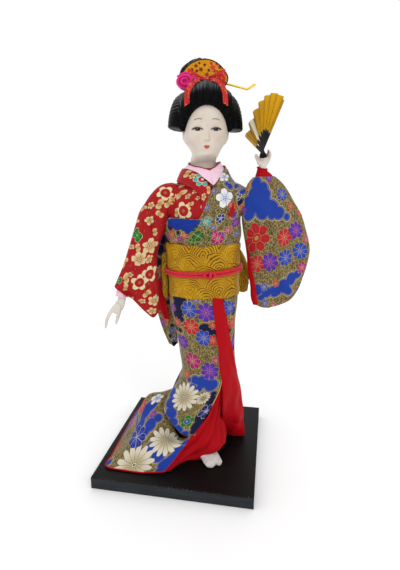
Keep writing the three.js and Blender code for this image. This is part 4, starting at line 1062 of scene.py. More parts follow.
# red lining that shows along the turned front edge, down to the foot
E1 = np.array([(12.9, -17.6, 64), (12.4, -18.0, 62.4), (7.0, -21.6, 46.6), (3.9, -23.7, 38.2), (-6.0, -28.6, 26.6), (-15.8, -34.0, 15.6), (-23.0, -39.0, 7.2), (-29.4, -43.4, 1.2)])
R1 = np.array([(13.6, -17.4, 64), (13.9, -17.2, 61.8), (14.6, -15.0, 45.5), (13.4, -14.2, 37.5), (11.6, -16.6, 26), (12.4, -23.6, 14), (8.6, -29.2, 8.6), (2.0, -29.4, 4.6), (-3.5, -29.2, 1.2), (-13.4, -30.4, .9), (-27.5, -42.4, .9)])
A, B = spline(E1, 110), spline(R1, 110)
w = np.linspace(0, 1, 50)[None, :, None]
G = A[:, None] * (1 - w) + B[:, None] * w
t = np.linspace(0, 1, 110)[:, None]
s = np.linspace(0, 1, 50)[None]
N = normals(G)
if N[60, 25, 1] > 0:
    N = -N
amp = np.sin(pi * s) * smooth01(t, .05, .35) * (1 - smooth01(t, .85, 1))
G = G + N * ((1.8 * np.sin(s * 2 * pi * 2.1 + t * 2.2) - .8) * amp + .5 * waves(12, s * 2, t * 3) * amp)[..., None]
G[..., 2] = np.maximum(G[..., 2], .7)
o = shell('front_edge_lining', G, [MAT['red'], MAT['red']], .4, flip=bool(normals(G)[60, 25, 1] > 0))
finish_piece(o, "body", ["under_robe_hem"])
cloth(o, (.075, .04), "hung", ["kimono_skirt_cloth"])

# red facing of the over-lapping front: a strip from the sash that opens into a bell
ST_ = [
    [(5.2, -16.2, 134), (5.4, -17.2, 134), (9.2, -17.2, 134), (12.8, -16.0, 134)],
    [(5.5, -17.4, 129), (5.6, -18.8, 129), (9.6, -18.8, 129), (13.3, -17.2, 129)],
    [(5.8, -18.2, 125), (5.9, -20.0, 125), (10.0, -19.9, 125), (13.9, -18.1, 125)],
    [(7.6, -18.3, 113), (7.4, -20.4, 113), (12.2, -20.0, 113), (16.8, -17.2, 113)],
    [(10.6, -18.2, 88), (10.2, -20.6, 88), (16.2, -18.8, 88), (21.3, -14.4, 88)],
    [(13.6, -17.6, 63), (13, -20.4, 63), (20.6, -16.8, 63), (27, -9.4, 63)],
    [(15.4, -15.4, 45), (14.3, -18.2, 45), (22.8, -13.8, 45), (30.5, -5.2, 45)],
    [(16.4, -8.4, 28), (14.9, -11.4, 28), (23.5, -9.2, 28), (33.2, -2.4, 28)],
    [(15.8, 1.0, 13), (14.0, -2, 13), (22.6, -3.6, 13), (34.4, .4, 13)],
    [(15.2, 9.0, 1.2), (13.0, 6.2, 1.2), (22.4, 2.2, 1.2), (34.8, 1.6, 1.2)],
]
G = surface(ST_, 150, 60)
u, v = np.linspace(0, 1, 60)[None], np.linspace(0, 1, 150)[:, None]
N = normals(G)
if N[70, 30, 1] > 0:
    N = -N
G = G + N * (.9 * np.sin(u * 2 * pi * 1.6 + .6) * smooth01(v, .55, .95) - .8 * np.exp(-((v - .87 + .02 * np.sin(u * 5)) / .018) ** 2) * smooth01(u, .35, .6) + .35 * waves(21, u * 2, v * 5) * smooth01(v, .1, .4))[..., None]
o = shell('front_facing_red', G, [MAT['red'], MAT['red']], .45, flip=bool(normals(G)[70, 30, 1] > 0))
finish_piece(o, "body", ["skirt_lining_panel"])
cloth(o, (.045, .14), "hung", ["obi_sash", "kimono_skirt_cloth"])

# hem of the under-robe round the ankle
UR = [
    [(16.5, 4, 30), (12.5, -9, 30), (3, -15, 31), (-8, -17, 31), (-15, -8, 31)],
    [(18, 3, 18), (15.4, -13, 18), (5, -18.5, 18), (-8, -20.5, 18), (-16, -10, 18)],
    [(18.4, 1, 10), (16.4, -16.4, 11), (9.4, -23.6, 12), (-6, -24, 8), (-18, -14, 7)],
    [(18.8, 0, 5), (16.2, -18.6, 8.4), (11.2, -27.6, 8.2), (-3.4, -27.4, 3), (-19, -16, 2.2)],
]
G = surface(UR, 60, 90)
u, v = np.linspace(0, 1, 90)[None], np.linspace(0, 1, 60)[:, None]
N = normals(G)
if N[30, 45, 1] > 0:
    N = -N
G = G + N * (.7 * np.sin(u * 2 * pi * 4.3) * smooth01(v, .2, 1))[..., None]
o = shell('under_robe_cloth', G, [MAT['red'], MAT['red']], .4, flip=bool(normals(G)[30, 45, 1] > 0))
finish_piece(o, "body", ())
cloth(o, (.075, .032), "hung", ["right_leg"])

# ---------------------------------------------------------------- bodices
def torso_grid(rows, n=121, a0=-90, a1=270):
    th = np.radians(np.linspace(a0, a1, n))
    R = spline(np.array(rows, float), 90)
    return np.stack([R[:, 1:2] + R[:, 3:4] * np.cos(th), R[:, 2:3] + R[:, 4:5] * np.sin(th), np.repeat(R[:, :1], n, 1)], -1)


UNDER = [(165, -.6, .5, 24.4, 17.2), (169, -.8, .5, 26.0, 18.0), (174, -.8, .5, 26.6, 19.4), (184, -.6, .4, 26.6, 19.4), (194, -.4, .4, 26.6, 18.8), (201, -.2, .5, 26.2, 17.6),
         (206.5, 0, .8, 24.6, 16.2), (211, .2, 1.2, 21, 14.6), (215, .3, 1.6, 17.6, 13.6), (219, .4, 2, 15.2, 13.0), (222.4, .4, 2.2, 14.0, 12.4)]


def under_at(z, g=0.0):
    r = np.array(UNDER)
    return [np.interp(z, r[:, 0], r[:, k]) + (g if k > 2 else 0) for k in range(1, 5)]


def on_torso(x, z, g=0.0):
    """Point on the front of the under bodice, lifted by g."""
    cx, cy, a, b = under_at(z, g)
    c = np.clip((x - cx) / a, -1, 1)
    return np.array([x, cy - b * math.sqrt(max(1 - c * c, 0.0)), z])


G = torso_grid(UNDER)[:, :-1]
u, v = np.linspace(0, 2 * pi, 121)[None, :-1], np.linspace(0, 1, 90)[:, None]
N = normals(G, True)
G = G + N * (.35 * waves(31, np.cos(u) * 1.6, np.sin(u) * 1.6, v * 3))[..., None]
o = shell('under_kimono_cloth', G[::-1], [MAT['red_brocade'], MAT['red']], .6, closed=True, flip=True)
RED_SEEN = [(179.7, 193.7, 6.5, 'y'), (173, 199, 6, 'y'), (183.4, 211, 10, 'k'), (188, 196.7, 3.6, 'c'), (196.5, 190, 4.5, 'c'), (190, 204, 4, 'y'), (203, 205, 4.5, 'y'), (198, 198, 3, 'c'), (176, 213, 5, 'y')]
motifs(o, RED_SEEN, (), fill='cyyck', size=(2.6, 4.6), gap=1.5, cfill=(), seed=12)
finish_piece(o, "body", ["under_kimono_bodice"])
cloth(o, (.15, .06), "stretched", ["torso_core"])

# outer kimono, worn on the left shoulder only: from the lapel edge round the left side to the back
LAP = [(12.3, 222), (9.2, 215.5), (6.2, 209.9), (2.6, 203), (.2, 197), (-1.6, 191.5), (-7.1, 184), (-12.6, 177.6), (-16.5, 168)]
BACK = [(98, 222), (104, 210), (112, 198), (126, 188), (146, 180), (172, 173), (186, 167)]


def outer_rows(g):
    rows = []
    L = spline(np.array(LAP, float), 60)
    Bk = np.array(BACK, float)
    for x, z in L:
        cx, cy, a, b = under_at(min(z, 222.4), g)
        t0 = -math.acos(np.clip((x - cx) / a, -1, 1))
        t1 = math.radians(np.interp(-z, -Bk[:, 1], Bk[:, 0]))
        th = np.linspace(t0, t1, 140)
        rows.append(np.stack([cx + a * np.cos(th), cy + b * np.sin(th), np.full(140, z)], -1))
    return np.array(rows)


G = outer_rows(1.0)
u, v = np.linspace(0, 1, 140)[None], np.linspace(0, 1, 60)[:, None]
N = normals(G, flip=True)
if (N[30, 60] * [1, -.2, 0]).sum() < 0:
    N = -N
G = G + N * (.5 * waves(33, u * 4, v * 2.4) * smooth01(u, .02, .12))[..., None]
o = shell('outer_kimono_cloth', G, [MAT['brocade'], MAT['red']], .6, flip=bool((normals(G)[30, 60] * [1, -.2, 0]).sum() < 0), ref=.2)
BODY_MOTIFS = [(208.2, 235.7, 7.5, 'd'), (218, 238, 8, 'm'), (233, 207, 6, 'r'), (236, 222, 6, 'p'), (231, 183, 5, 'b'), (228, 230, 5, 'm'), (239, 196, 4.5, 'n'), (237, 234, 4, 'b')]
motifs(o, BODY_MOTIFS, [(232, 178, 5, BLUE), (238, 190, 5, NAVY), (234, 214, 5, BLUE)], seed=15, size=(3, 4.8), cfill=((BLUE, 6), (NAVY, 3)))
finish_piece(o, "body", ["outer_kimono_bodice"])
cloth(o, (.105, .062), "draped", ["under_kimono_cloth"])

# its lapel band
L0 = spline(np.array([(0, 15.2, 225.6), (8, 13, 225.6), (13.6, 6, 225), (14.4, -1, 223.4), tuple(on_torso(10.6, 217.5, 2.2)), tuple(on_torso(6.4, 210.4, 2.2)), tuple(on_torso(2.4, 203, 2.2)), tuple(on_torso(.2, 197, 2.1)),
                      tuple(on_torso(-2.4, 190.5, 2.1)), tuple(on_torso(-7.6, 183.6, 2.0)), tuple(on_torso(-12.8, 177.4, 2.0)), tuple(on_torso(-18.0, 170.4, 1.6))]), 130)
L1 = spline(np.array([(0, 18.2, 217.5), (11, 16, 217), (19, 8, 216.5), (21.4, 0, 214.4), tuple(on_torso(21, 208.5, 2.2)), tuple(on_torso(20.5, 203, 2.2)), tuple(on_torso(19.6, 198, 2.2)), tuple(on_torso(17.6, 193.4, 2.1)),
                      tuple(on_torso(13.5, 186.6, 2.1)), tuple(on_torso(10.0, 180.6, 2.0)), tuple(on_torso(6.6, 175, 1.9)), tuple(on_torso(3.4, 168.6, 1.4))]), 130)
w = np.linspace(0, 1, 46)[None, :, None]
G = L0[:, None] * (1 - w) + L1[:, None] * w
for i in range(G.shape[0]):
    for j in range(G.shape[1]):
        x, y, z = G[i, j]
        if y < 2 and z < 219:
            cx, cy, a, b = under_at(z, 2.1)
            c = (x - cx) / a
            if abs(c) < .97:
                G[i, j, 1] = min(y, cy - b * math.sqrt(1 - c * c))
s = np.linspace(0, 1, 46)[None]
N = normals(G)
sgn = 1 if N[70, 20, 1] < 0 else -1
G = G + N * sgn * (.55 * np.sin(pi * s) ** .6 + .25 * waves(37, np.linspace(0, 4, 130)[:, None], s * 1.2))[..., None]
o = shell('outer_kimono_lapel', G, [MAT['brocade'], MAT['red']], .7, flip=bool(normals(G)[70, 20, 1] > 0))
LAP_MOTIFS = [(225.4, 198, 11, 'h'), (224.4, 176.5, 7, 'h'), (220.6, 218.5, 6, 'n'), (231, 205, 6, 'r'), (217, 238, 7.5, 'm'), (193.4, 228.6, 5.4, 'd'), (198, 236.2, 7.4, 'd'), (208, 235.6, 7.2, 'd'), (191.4, 242.4, 5, 'd'), (205.8, 222, 7, 't'), (214, 191, 4, 'b'), (213, 228, 4, 'b')]
motifs(o, LAP_MOTIFS, [(230, 186, 5, BLUE), (227, 184, 4, BLUE), (219, 222, 4, NAVY)], seed=17, size=(2.6, 4.2), cfill=((BLUE, 3),))
finish_piece(o, "body", ())
cloth(o, (.115, .022), "folded", ["outer_kimono_cloth"])

# the part slipped from the right shoulder, turned down at the waist
FW = [[(4, 187), (-6, 186.5), (-16, 187), (-25, 187.5)], [(4, 178), (-6, 178), (-16, 178), (-25, 178)], [(4, 168), (-6, 168), (-16, 168), (-25, 168)]]
ang = np.radians(np.linspace(-84, -262, 130))
rows = []
for z, g in ((167.5, .6), (169.5, 1.7), (174, 2.4), (179, 2.6), (183, 2.4), (185.6, 2.0), (187, 1.0)):
    cx, cy, a, b = under_at(z, g)
    rows.append(np.stack([cx + a * np.cos(ang), cy + b * np.sin(ang), z + 1.2 * np.sin(ang * 2) - .5], -1))
G = spline(np.array(rows), 50)
u, v = np.linspace(0, 1, 130)[None], np.linspace(0, 1, 50)[:, None]
N = normals(G)
out = (N[25, 40] * (G[25, 40] - [0, .5, 178])).sum() > 0
G = G + (N if out else -N) * (.5 * waves(41, u * 4, v * 1.6) + .35 * np.sin(u * 24 + v * 3))[..., None]
o = shell('outer_kimono_waist_fold', G, [MAT['brocade'], MAT['blue']], .6, flip=not out, ref=.15)
motifs(o, [(192.4, 228.6, 5.4, 'd'), (198, 236, 7, 'd'), (191.4, 242, 5, 'd'), (172, 234, 5, 'r'), (180, 239, 4.6, 'p'), (184.5, 236, 4, 'r'), (176, 240, 3.4, 'm'), (168, 238, 4, 'p')], [(170, 228, 5, NAVY), (178, 233, 4, NAVY)], seed=19, size=(2.8, 4.4), cfill=((NAVY, 4),))
finish_piece(o, "body", ())
cloth(o, (.075, .022), "folded", ["under_kimono_cloth"])
top = [on_torso(x, z, 3.4) for x, z in ((-3, 186.6), (-9, 187.0), (-16, 187.4), (-22, 187.4), (-26.6, 186.6))]
mid = [on_torso(x, z, 3.9) for x, z in ((-6.4, 182.5), (-11, 182), (-16.5, 182.6), (-22, 183.6), (-26.9, 184))]
low = [on_torso(x, z, 3.4) for x, z in ((-10.4, 178.4), (-13, 176.8), (-17, 178), (-22.4, 180.4), (-27.2, 181.8))]
G = surface([top, mid, low], 30, 70)
u, v = np.linspace(0, 1, 70)[None], np.linspace(0, 1, 30)[:, None]
G[..., 1] -= .45 * np.sin(u * 9 + v * 2) + .5 * np.sin(pi * v)
o = shell('waist_fold_blue', G, [MAT['blue'], MAT['blue']], .6, flip=bool(normals(G)[15, 30, 1] > 0))
finish_piece(o, "body", ())
cloth(o, (.028, .011), "folded", ["outer_kimono_waist_fold"])

# pink inner collar in two crossing bands, with dark red piping on the inner edges
def collar(name, inner, outer, bulge, vee):
    a, b = spline(np.array(inner), 90), spline(np.array(outer), 90)
    w = np.linspace(0, 1, 16)[None, :, None]
    G = a[:, None] * (1 - w) + b[:, None] * w
    N = normals(G)
    s = np.linspace(0, 1, 16)[None]
    c = np.array([.4, 1.5, 212.0])
    sg = 1 if (N[45, 8] * (G[45, 8] - c)).sum() > 0 else -1
    G = G + N * sg * (bulge * np.sin(pi * s) ** .7 + .12 * waves(51, np.linspace(0, 5, 90)[:, None], s))[..., None]
    o = shell(name, G, [MAT['pink'], MAT['pink']], .7, flip=sg < 0)
    finish_piece(o, "body", ["inner_collar"] if name.endswith('right') else ())
    e = int(90 * vee)
    p = tube(name + '_piping', (a + N[:, 0] * sg * .25)[:e], .42, [MAT['crimson']], n=8, up=(0, 0, 1))
    finish_piece(p, "body", ())
    return o


o = collar('inner_collar_left', [(0, 13.2, 226.8), (8, 10.6, 227), (11.0, 4, 227.2), (10.2, -3.4, 226.2), (7.2, -10.2, 223.4), (3.4, -14.5, 220.1), (4.2, -15.9, 216), (5.2, -17.0, 211.4)],
           [(0, 15.6, 221), (10, 12.6, 221), (14.6, 4.6, 221.6), (13.4, -4.6, 221.4), (11.0, -11.2, 217.4), (9.4, -14.4, 214.8), (7.8, -16.4, 212.6), (5.8, -17.4, 210.4)], .4, .775)
cloth(o, (.05, .011), "folded", ["torso_core"])
o = collar('inner_collar_right', [(0, 13.4, 226.6), (-8, 10.8, 226.8), (-11.2, 4, 226.6), (-11.4, -3.2, 225), (-7.6, -9.4, 223.4), (-1.6, -13.0, 222), (3.4, -14.6, 220.1), (4.2, -16.0, 216), (5.3, -17.1, 211.3)],
           [(0, 15.8, 220.8), (-10, 12.8, 220.8), (-14.6, 4.6, 222), (-14.6, -4.6, 222.2), (-11.2, -11.0, 221.0), (-5.8, -14.8, 219.0), (-1.0, -16.4, 215.4), (2.4, -17.1, 213), (5.4, -17.6, 210.5)], .5, .80)
cloth(o, (.05, .011), "folded", ["torso_core"])
# red lapel of the under kimono, next to the pink one
a = spline(np.array([(-2, 16.2, 221.4), (-10, 13.4, 221.4), (-15.4, 5, 222.4), (-15.4, -4.6, 222.2), (-11.6, -11.5, 220.8), (-5.8, -15.3, 218.6), tuple(on_torso(1.4, 212.4, 1.9)), tuple(on_torso(4.6, 206.5, 1.7)), tuple(on_torso(4.0, 198, 1.2))]), 100)
b = spline(np.array([(-2, 18, 214.6), (-12, 15.2, 214.4), (-19.4, 6, 214), (-19.8, -4.6, 212.6), tuple(on_torso(-15.4, 211, 1.6)), tuple(on_torso(-10, 208.6, 1.6)), tuple(on_torso(-4.6, 204, 1.6)), tuple(on_torso(-2.4, 197, 1.3)), tuple(on_torso(-4.0, 188, 1.0))]), 100)
w = np.linspace(0, 1, 24)[None, :, None]
G = a[:, None] * (1 - w) + b[:, None] * w
N = normals(G)
sg = 1 if N[60, 12, 1] < 0 else -1
G = G + N * sg * (.6 * np.sin(pi * np.linspace(0, 1, 24)[None]) ** .6 + .25)[..., None]
o = shell('under_kimono_lapel', G, [MAT['red_brocade'], MAT['red']], .7, flip=sg < 0)
motifs(o, [(202, 179.4, 8.4, 'u'), (187, 173.5, 5.5, 'y'), (192.6, 176.5, 4, 'c'), (208.5, 190, 4.5, 'y'), (204, 197, 4, 'c')], (), fill='ycy', size=(2.4, 3.6), gap=1.5, cfill=(), seed=23)
finish_piece(o, "body", ())
cloth(o, (.07, .011), "folded", ["under_kimono_cloth"])

# ---------------------------------------------------------------- sash, cord and bow
OBI = [(128.6, -.1, .5, 27.5, 20.4), (133, -.2, .5, 27.5, 20.0), (141, -.5, .5, 27.5, 19.6), (155, -.9, .5, 28, 19.6), (169, -1, .5, 28.4, 19.6)]
R = spline(np.array(OBI, float), 60)
th = np.radians(np.arange(200) * 360 / 200 + 90)
v = np.linspace(0, 1, 60)[:, None]
lip = -.9 * np.exp(-(v / .012) ** 2) - 1.3 * np.exp(-((1 - v) / .012) ** 2)
groove = -.75 * np.exp(-((v - .47 - .035 * np.cos(th)[None]) / .05) ** 2)
g = lip + groove + .22 * waves(61, np.cos(th)[None] * 2, np.sin(th)[None] * 2, v * 3)
zz = R[:, :1] + (.9 * np.sin(th)[None] * (1 - v) * -1 * 0) + .35 * waves(62, np.cos(th)[None] * 1.4, np.sin(th)[None] * 1.4) * (np.abs(v - .5) * 2) ** 3
G = np.stack([R[:, 1:2] + (R[:, 3:4] + g) * np.cos(th)[None], R[:, 2:3] + (R[:, 4:5] + g) * np.sin(th)[None], zz + 0 * g], -1)
o = shell('obi_cloth', G[::-1], [MAT['obi'], MAT['obi']], 1.5, closed=True, flip=True)
finish_piece(o, "body", ["obi_sash"])
cloth(o, (.165, .042), "stretched", ["torso_core"])

th = np.radians(np.arange(360) - 90)
for k, dz in ((0, 1.12), (1, -1.12)):
    P = np.stack([-.7 + 28.9 * np.cos(th), .5 + 20.55 * np.sin(th), 148.7 + 1.4 * np.cos(th) - 1.7 * np.maximum(0, -np.sin(th)) ** 2 + dz + .25 * np.sin(3 * th + k)], -1)
    o = tube(f'obi_cord_strand_{k + 1}', P, 1.1, [MAT['cord']], n=14, closed=True, up=(0, 0, 1), shape=lambda s, q: 1 + .09 * np.cos(3 * q - s * 1.6))
    finish_piece(o, "body", ["obi_cord"] if k == 0 else ())
# flat knot: two loops wound over the strands and a cross wrap
kn = []
c = np.array([3.5, -21.0, 147.4])
t = np.linspace(0, 2 * pi, 90, endpoint=False)
P = c + np.stack([3.7 * np.cos(t), -1.1 - .7 * np.cos(2 * t), 1.9 * np.sin(t)], -1)
kn.append(tube('k1', P, 1.0, [MAT['cord']], n=12, closed=True, shape=lambda s, q: 1 + .09 * np.cos(3 * q - s * 1.6)))
t = np.linspace(0, 2 * pi, 70, endpoint=False)
P = c + np.stack([.5 * np.sin(t) + .3, -1.0 - 1.3 * np.cos(t), 2.7 * np.sin(t)], -1)
kn.append(tube('k2', P, 1.05, [MAT['cord']], n=12, closed=True, up=(1, 0, 0), shape=lambda s, q: 1 + .09 * np.cos(3 * q - s * 1.6)))
bm = bmesh.new()
for p in kn:
    bm.from_mesh(p.data)
me = bpy.data.meshes.new('obi_cord_knot')
bm.to_mesh(me)
bm.free()
for p in kn:
    bpy.data.objects.remove(p)
me.materials.append(MAT['cord'])
o = bpy.data.objects.new('obi_cord_knot', me)
bpy.context.scene.collection.objects.link(o)
finish_piece(o, "body", ())


def wing_loop(name, s, secs, nodes=()):
    """One drooping loop of the bow: a flattened tube from the band outwards."""
    rows = []
    for x, z0, z1, y, d in secs:
        q = np.linspace(0, 2 * pi, 40, endpoint=False)
        h, c = (z1 - z0) / 2, (z1 + z0) / 2
        yy = y + d * np.sin(q) * (np.abs(np.cos(q)) * .25 + .75)
        rows.append(np.stack([s * (x + .9 * np.cos(q)), yy, c + h * np.sign(np.cos(q)) * np.abs(np.cos(q)) ** .8], -1))
    G = surface(rows, 70, 110, True)
    u, v = np.linspace(0, 2 * pi, 110, endpoint=False)[None], np.linspace(0, 1, 70)[:, None]
    N = normals(G, True)
    out = (N[35, 0] * [0, 0, 1]).sum() > 0
    N = N if out else -N
    G = G + N * (.45 * np.sin(np.cos(u) * 9 + v * 2) * smooth01(v, 0, .2) + .2 * waves(71, np.cos(u), np.sin(u), v * 3))[..., None]
    o = shell(name, G, [MAT['obi'], MAT['obi']], .7, closed=True, flip=not out)
    finish_piece(o, "body", nodes)
    return o


R_SECS = [(4, 141, 158, 27.5, 2.0), (12, 136, 161, 27.4, 3.2), (21, 129.5, 161.5, 27.4, 3.6), (29, 123.5, 160, 27.4, 3.6), (34.5, 122, 152, 27.2, 3.2), (37.6, 123.5, 140, 26.8, 2.2)]
L_SECS = [(4, 141, 158, 27.5, 2.0), (12, 136, 161, 27.4, 3.2), (21, 128.5, 161.5, 27.4, 3.6), (29.5, 121.5, 160.5, 27.4, 3.6), (35, 120, 153, 27.2, 3.2), (38, 121.5, 140, 26.8, 2.2)]
o = wing_loop('obi_bow_loop_left', 1, R_SECS, ["obi_bow_wings"])
cloth(o, (.075, .04), "folded", ["obi_cloth"])
o = wing_loop('obi_bow_loop_right', -1, L_SECS)
cloth(o, (.075, .04), "folded", ["obi_cloth"])
q = np.linspace(0, 2 * pi, 48, endpoint=False)
rows = []
for x, k in ((-8.6, .9), (-8.2, .97), (-4, 1.0), (0, 1.02), (4, 1.0), (8.2, .97), (8.6, .9)):
    zz = 148 + 17.4 * k * np.sign(np.sin(q)) * np.abs(np.sin(q)) ** .55
    yy = 29.3 + 5.6 * k * np.sign(np.cos(q)) * np.abs(np.cos(q)) ** .6
    rows.append(np.stack([np.full(48, x), yy, zz], -1))
G = surface(rows, 60, 120, True)
u, v = np.linspace(0, 2 * pi, 120, endpoint=False)[None], np.linspace(0, 1, 60)[:, None]
N = normals(G, True)
out = (N[30] * (G[30] - [0, 29.3, 148])).sum() > 0
G = G + (N if out else -N) * (.3 * np.sin(v * 22) * np.sin(pi * v) + .15 * waves(73, np.cos(u), np.sin(u), v * 4))[..., None]
o = shell('obi_bow_centre', G, [MAT['obi'], MAT['obi']], .7, closed=True, flip=not out)
finish_piece(o, "body", ["obi_bow_band"])
cloth(o, (.085, .019), "folded", ["obi_cloth"])

# empty right sleeve of the outer kimono, hanging at the right side behind the arm
HS = [
    [(-40, 12.5, 183), (-36.6, 11.6, 184), (-31.6, 11.4, 184), (-27.4, 12.6, 183)],
    [(-42.6, 11.0, 171), (-39, 9.6, 171), (-33.4, 9.4, 171), (-28.8, 10.6, 171)],
    [(-43.4, 9.6, 158), (-39.6, 7.8, 158), (-34.2, 7.6, 158), (-29.8, 9.2, 158)],
    [(-42.6, 9.2, 144), (-38.6, 7.0, 144), (-33.2, 6.8, 144), (-29.0, 8.6, 144)],
    [(-40.4, 9.4, 128), (-36.4, 7.0, 128), (-31.6, 6.6, 128), (-27.4, 8.4, 128)],
    [(-37.4, 9.8, 109), (-33.6, 7.4, 109), (-28.6, 7.0, 109), (-25.0, 8.4, 109)],
    [(-33.2, 10, 94), (-30.8, 8.4, 93), (-26.8, 8.0, 92.5), (-23.4, 8.8, 93)],
    [(-28.8, 10.4, 82.5), (-27.2, 9.4, 81.4), (-25.0, 9.2, 80.8), (-23.0, 9.4, 82.4)],
]
rows = [r + [(x, y + 3.4 + .8 * math.sin(x), z) for x, y, z in r[::-1]] for r in HS]
G = surface(rows, 110, 90, True)
u, v = np.linspace(0, 1, 90, endpoint=False)[None], np.linspace(0, 1, 110)[:, None]
N = normals(G, True)
c = G.mean(1, keepdims=True)
out = ((N * (G - c)).sum() > 0)
G = G + (N if out else -N) * (.55 * np.sin(u * 2 * pi * 5 + v * 2) * smooth01(v, 0, .3))[..., None]
o = shell('hanging_sleeve_cloth', G, [MAT['brocade'], MAT['red']], .5, closed=True, flip=not out, uv=flat_uv(G))
# the NAVY patches high on this sleeve, from (156, 240) to (163, 275), paint the shade behind the arm; the other entries
# are the cloth's flowers and clouds
motifs(o, [(167.5, 320, 5, 'r'), (171.5, 330, 4.6, 'b'), (174, 338, 4, 'n'), (163, 322, 4, 'p')], [(174, 343, 5, NAVY), (170, 336, 4, NAVY), (172, 326, 4, NAVY), (158, 262, 6, NAVY), (160, 250, 7, NAVY), (163, 240, 6, NAVY), (156, 275, 5, NAVY), (168, 302, 4, NAVY)], seed=27, size=(3, 4.6), cfill=((BLUE, 5), (NAVY, 3)))
finish_piece(o, "body", ["hanging_sleeve"])
cloth(o, (.04, .1), "hung", ["obi_cloth"])
# end of the sash that hangs beside the hip, folded to a loop
q = np.linspace(0, 2 * pi, 40, endpoint=False)
rows = []
for z, x, k in ((160.6, -30.4, .25), (160.0, -30.5, .8), (157, -30.7, 1.0), (146, -31.0, 1.04), (136, -30.7, 1.0), (128, -30.3, 1.0), (124.4, -30.1, .85), (123.6, -30.1, .3)):
    rows.append(np.stack([x + 2.2 * k * np.sign(np.cos(q)) * np.abs(np.cos(q)) ** .7, 3.2 + 2.1 * k * np.sin(q), np.full(40, z)], -1))
G = surface(rows, 60, 60, True)
G[..., 0] += .18 * waves(77, G[..., 2] * .06, G[..., 1] * .2)
o = skin('obi_hip_loop', G, [MAT['obi']])
finish_piece(o, "body", ())
# red lining turned out along its opening
G = surface([[(-38.4, 5.6, 139), (-34.6, 4.8, 139)], [(-38.2, 5.0, 128), (-33.0, 4.2, 128)], [(-36.6, 4.8, 116), (-29.8, 4.2, 115)], [(-32.8, 5.4, 106), (-28.6, 5.2, 105)]], 60, 24)
u, v = np.linspace(0, 1, 24)[None], np.linspace(0, 1, 60)[:, None]
G[..., 1] += .5 * np.sin(u * 7 + v * 3)
o = shell('hanging_sleeve_lining', G, [MAT['red'], MAT['red']], .4, flip=bool(normals(G)[30, 12, 1] > 0))
finish_piece(o, "body", ())

# ---------------------------------------------------------------- sleeves
def sleeve(name, top, bot, ymid, half, nv, nu, mats, seed, folds, ref=.25):
    """Flattened bag between an upper and a lower outline, with soft folds front and back."""
    T, B = spline(np.array(top, float), nv), spline(np.array(bot, float), nv)
    ym, hf = spline(np.array(ymid, float), nv), spline(np.array(half, float), nv)
    q = np.linspace(0, 2 * pi, nu, endpoint=False)
    w = (1 - np.cos(q)) / 2
    w = w ** .9
    prof = np.abs(np.sin(q)) ** .62 * np.sign(np.sin(q))
    V = np.zeros((nv, nu, 3))
    V[..., 0] = T[:, :1] * (1 - w) + B[:, :1] * w
    V[..., 2] = T[:, 1:] * (1 - w) + B[:, 1:] * w
    hh = hf[:, :1] * (1 - w) + hf[:, 1:] * w
    V[..., 1] = ym[:, :1] * (1 - w) + ym[:, 1:] * w - prof * hh
    s = np.linspace(0, 1, nv)[:, None]
    side = np.sign(np.sin(q))[None]
    V[..., 1] -= side * np.abs(np.sin(q))[None] ** .8 * folds(s, w[None], side)
    return V


def over_arm(G, path, r=5.6, reach=9.0):
    """Lets the cloth lie over the padded arm inside it, front and back."""
    P = np.concatenate([np.linspace(a, b, 24) for a, b in zip(np.array(path[:-1], float), np.array(path[1:], float))])
    d = np.hypot(G[..., None, 0] - P[:, 0], G[..., None, 2] - P[:, 2])
    h = r * np.maximum(0, 1 - (d / reach) ** 2) ** 1.5
    mid = G[..., 1].mean(1, keepdims=True)
    rear = np.where(d < reach, P[:, 1] + h, -99).max(-1)
    fore = np.where(d < reach, P[:, 1] - h, 99).min(-1)
    G = G.copy()
    G[..., 1] = np.where(G[..., 1] > mid, np.maximum(G[..., 1], rear), np.minimum(G[..., 1], fore))
    return G


RT = [(-17, 210.6), (-24, 212.4), (-32, 210.8), (-39.8, 204), (-44.3, 197.6), (-47.5, 193.0), (-51.3, 182.5), (-54.2, 173), (-57, 164.5), (-59.6, 156.5), (-62, 149.8), (-64.2, 144.8), (-66.2, 140.4), (-67.9, 136.6)]
RB = [(-22, 186), (-25.2, 187), (-26.8, 187), (-28.0, 181), (-32.4, 172), (-35.8, 160), (-36, 144), (-35.4, 128), (-35.6, 115.4), (-39.6, 110.8), (-45.6, 115.6), (-51.0, 122.4), (-54.6, 127.4), (-57.0, 129.9)]
RY = [(.4, .2), (.2, 0), (-.4, -.8), (-1.6, -2), (-2.4, -3.2), (-3.0, -4), (-4, -4.8), (-4.8, -5.2), (-5.6, -5.4), (-6.4, -5.6), (-7.2, -6), (-8.0, -6.8), (-8.8, -8), (-9.6, -9.2)]
RH = [(9.5, 9), (9.6, 8.6), (9.2, 8), (8, 7), (7, 5.8), (6.6, 5), (6.2, 4.2), (6.2, 3.6), (6.2, 3), (6.2, 2.6), (6.2, 2.8), (6.2, 3.6), (6.2, 5), (6, 5.8)]


def rfold(s, w, side):
    a = .9 * np.sin((w * 2.2 + s * 5.5) * 2 * pi * .55 + side) * smooth01(s, .2, .45) * smooth01(w, .1, .4)
    seam = -1.1 * np.exp(-((s - .30 + .02 * w) / .02) ** 2)
    return a + seam + .45 * waves(81, s * 6, w * 2 + side)


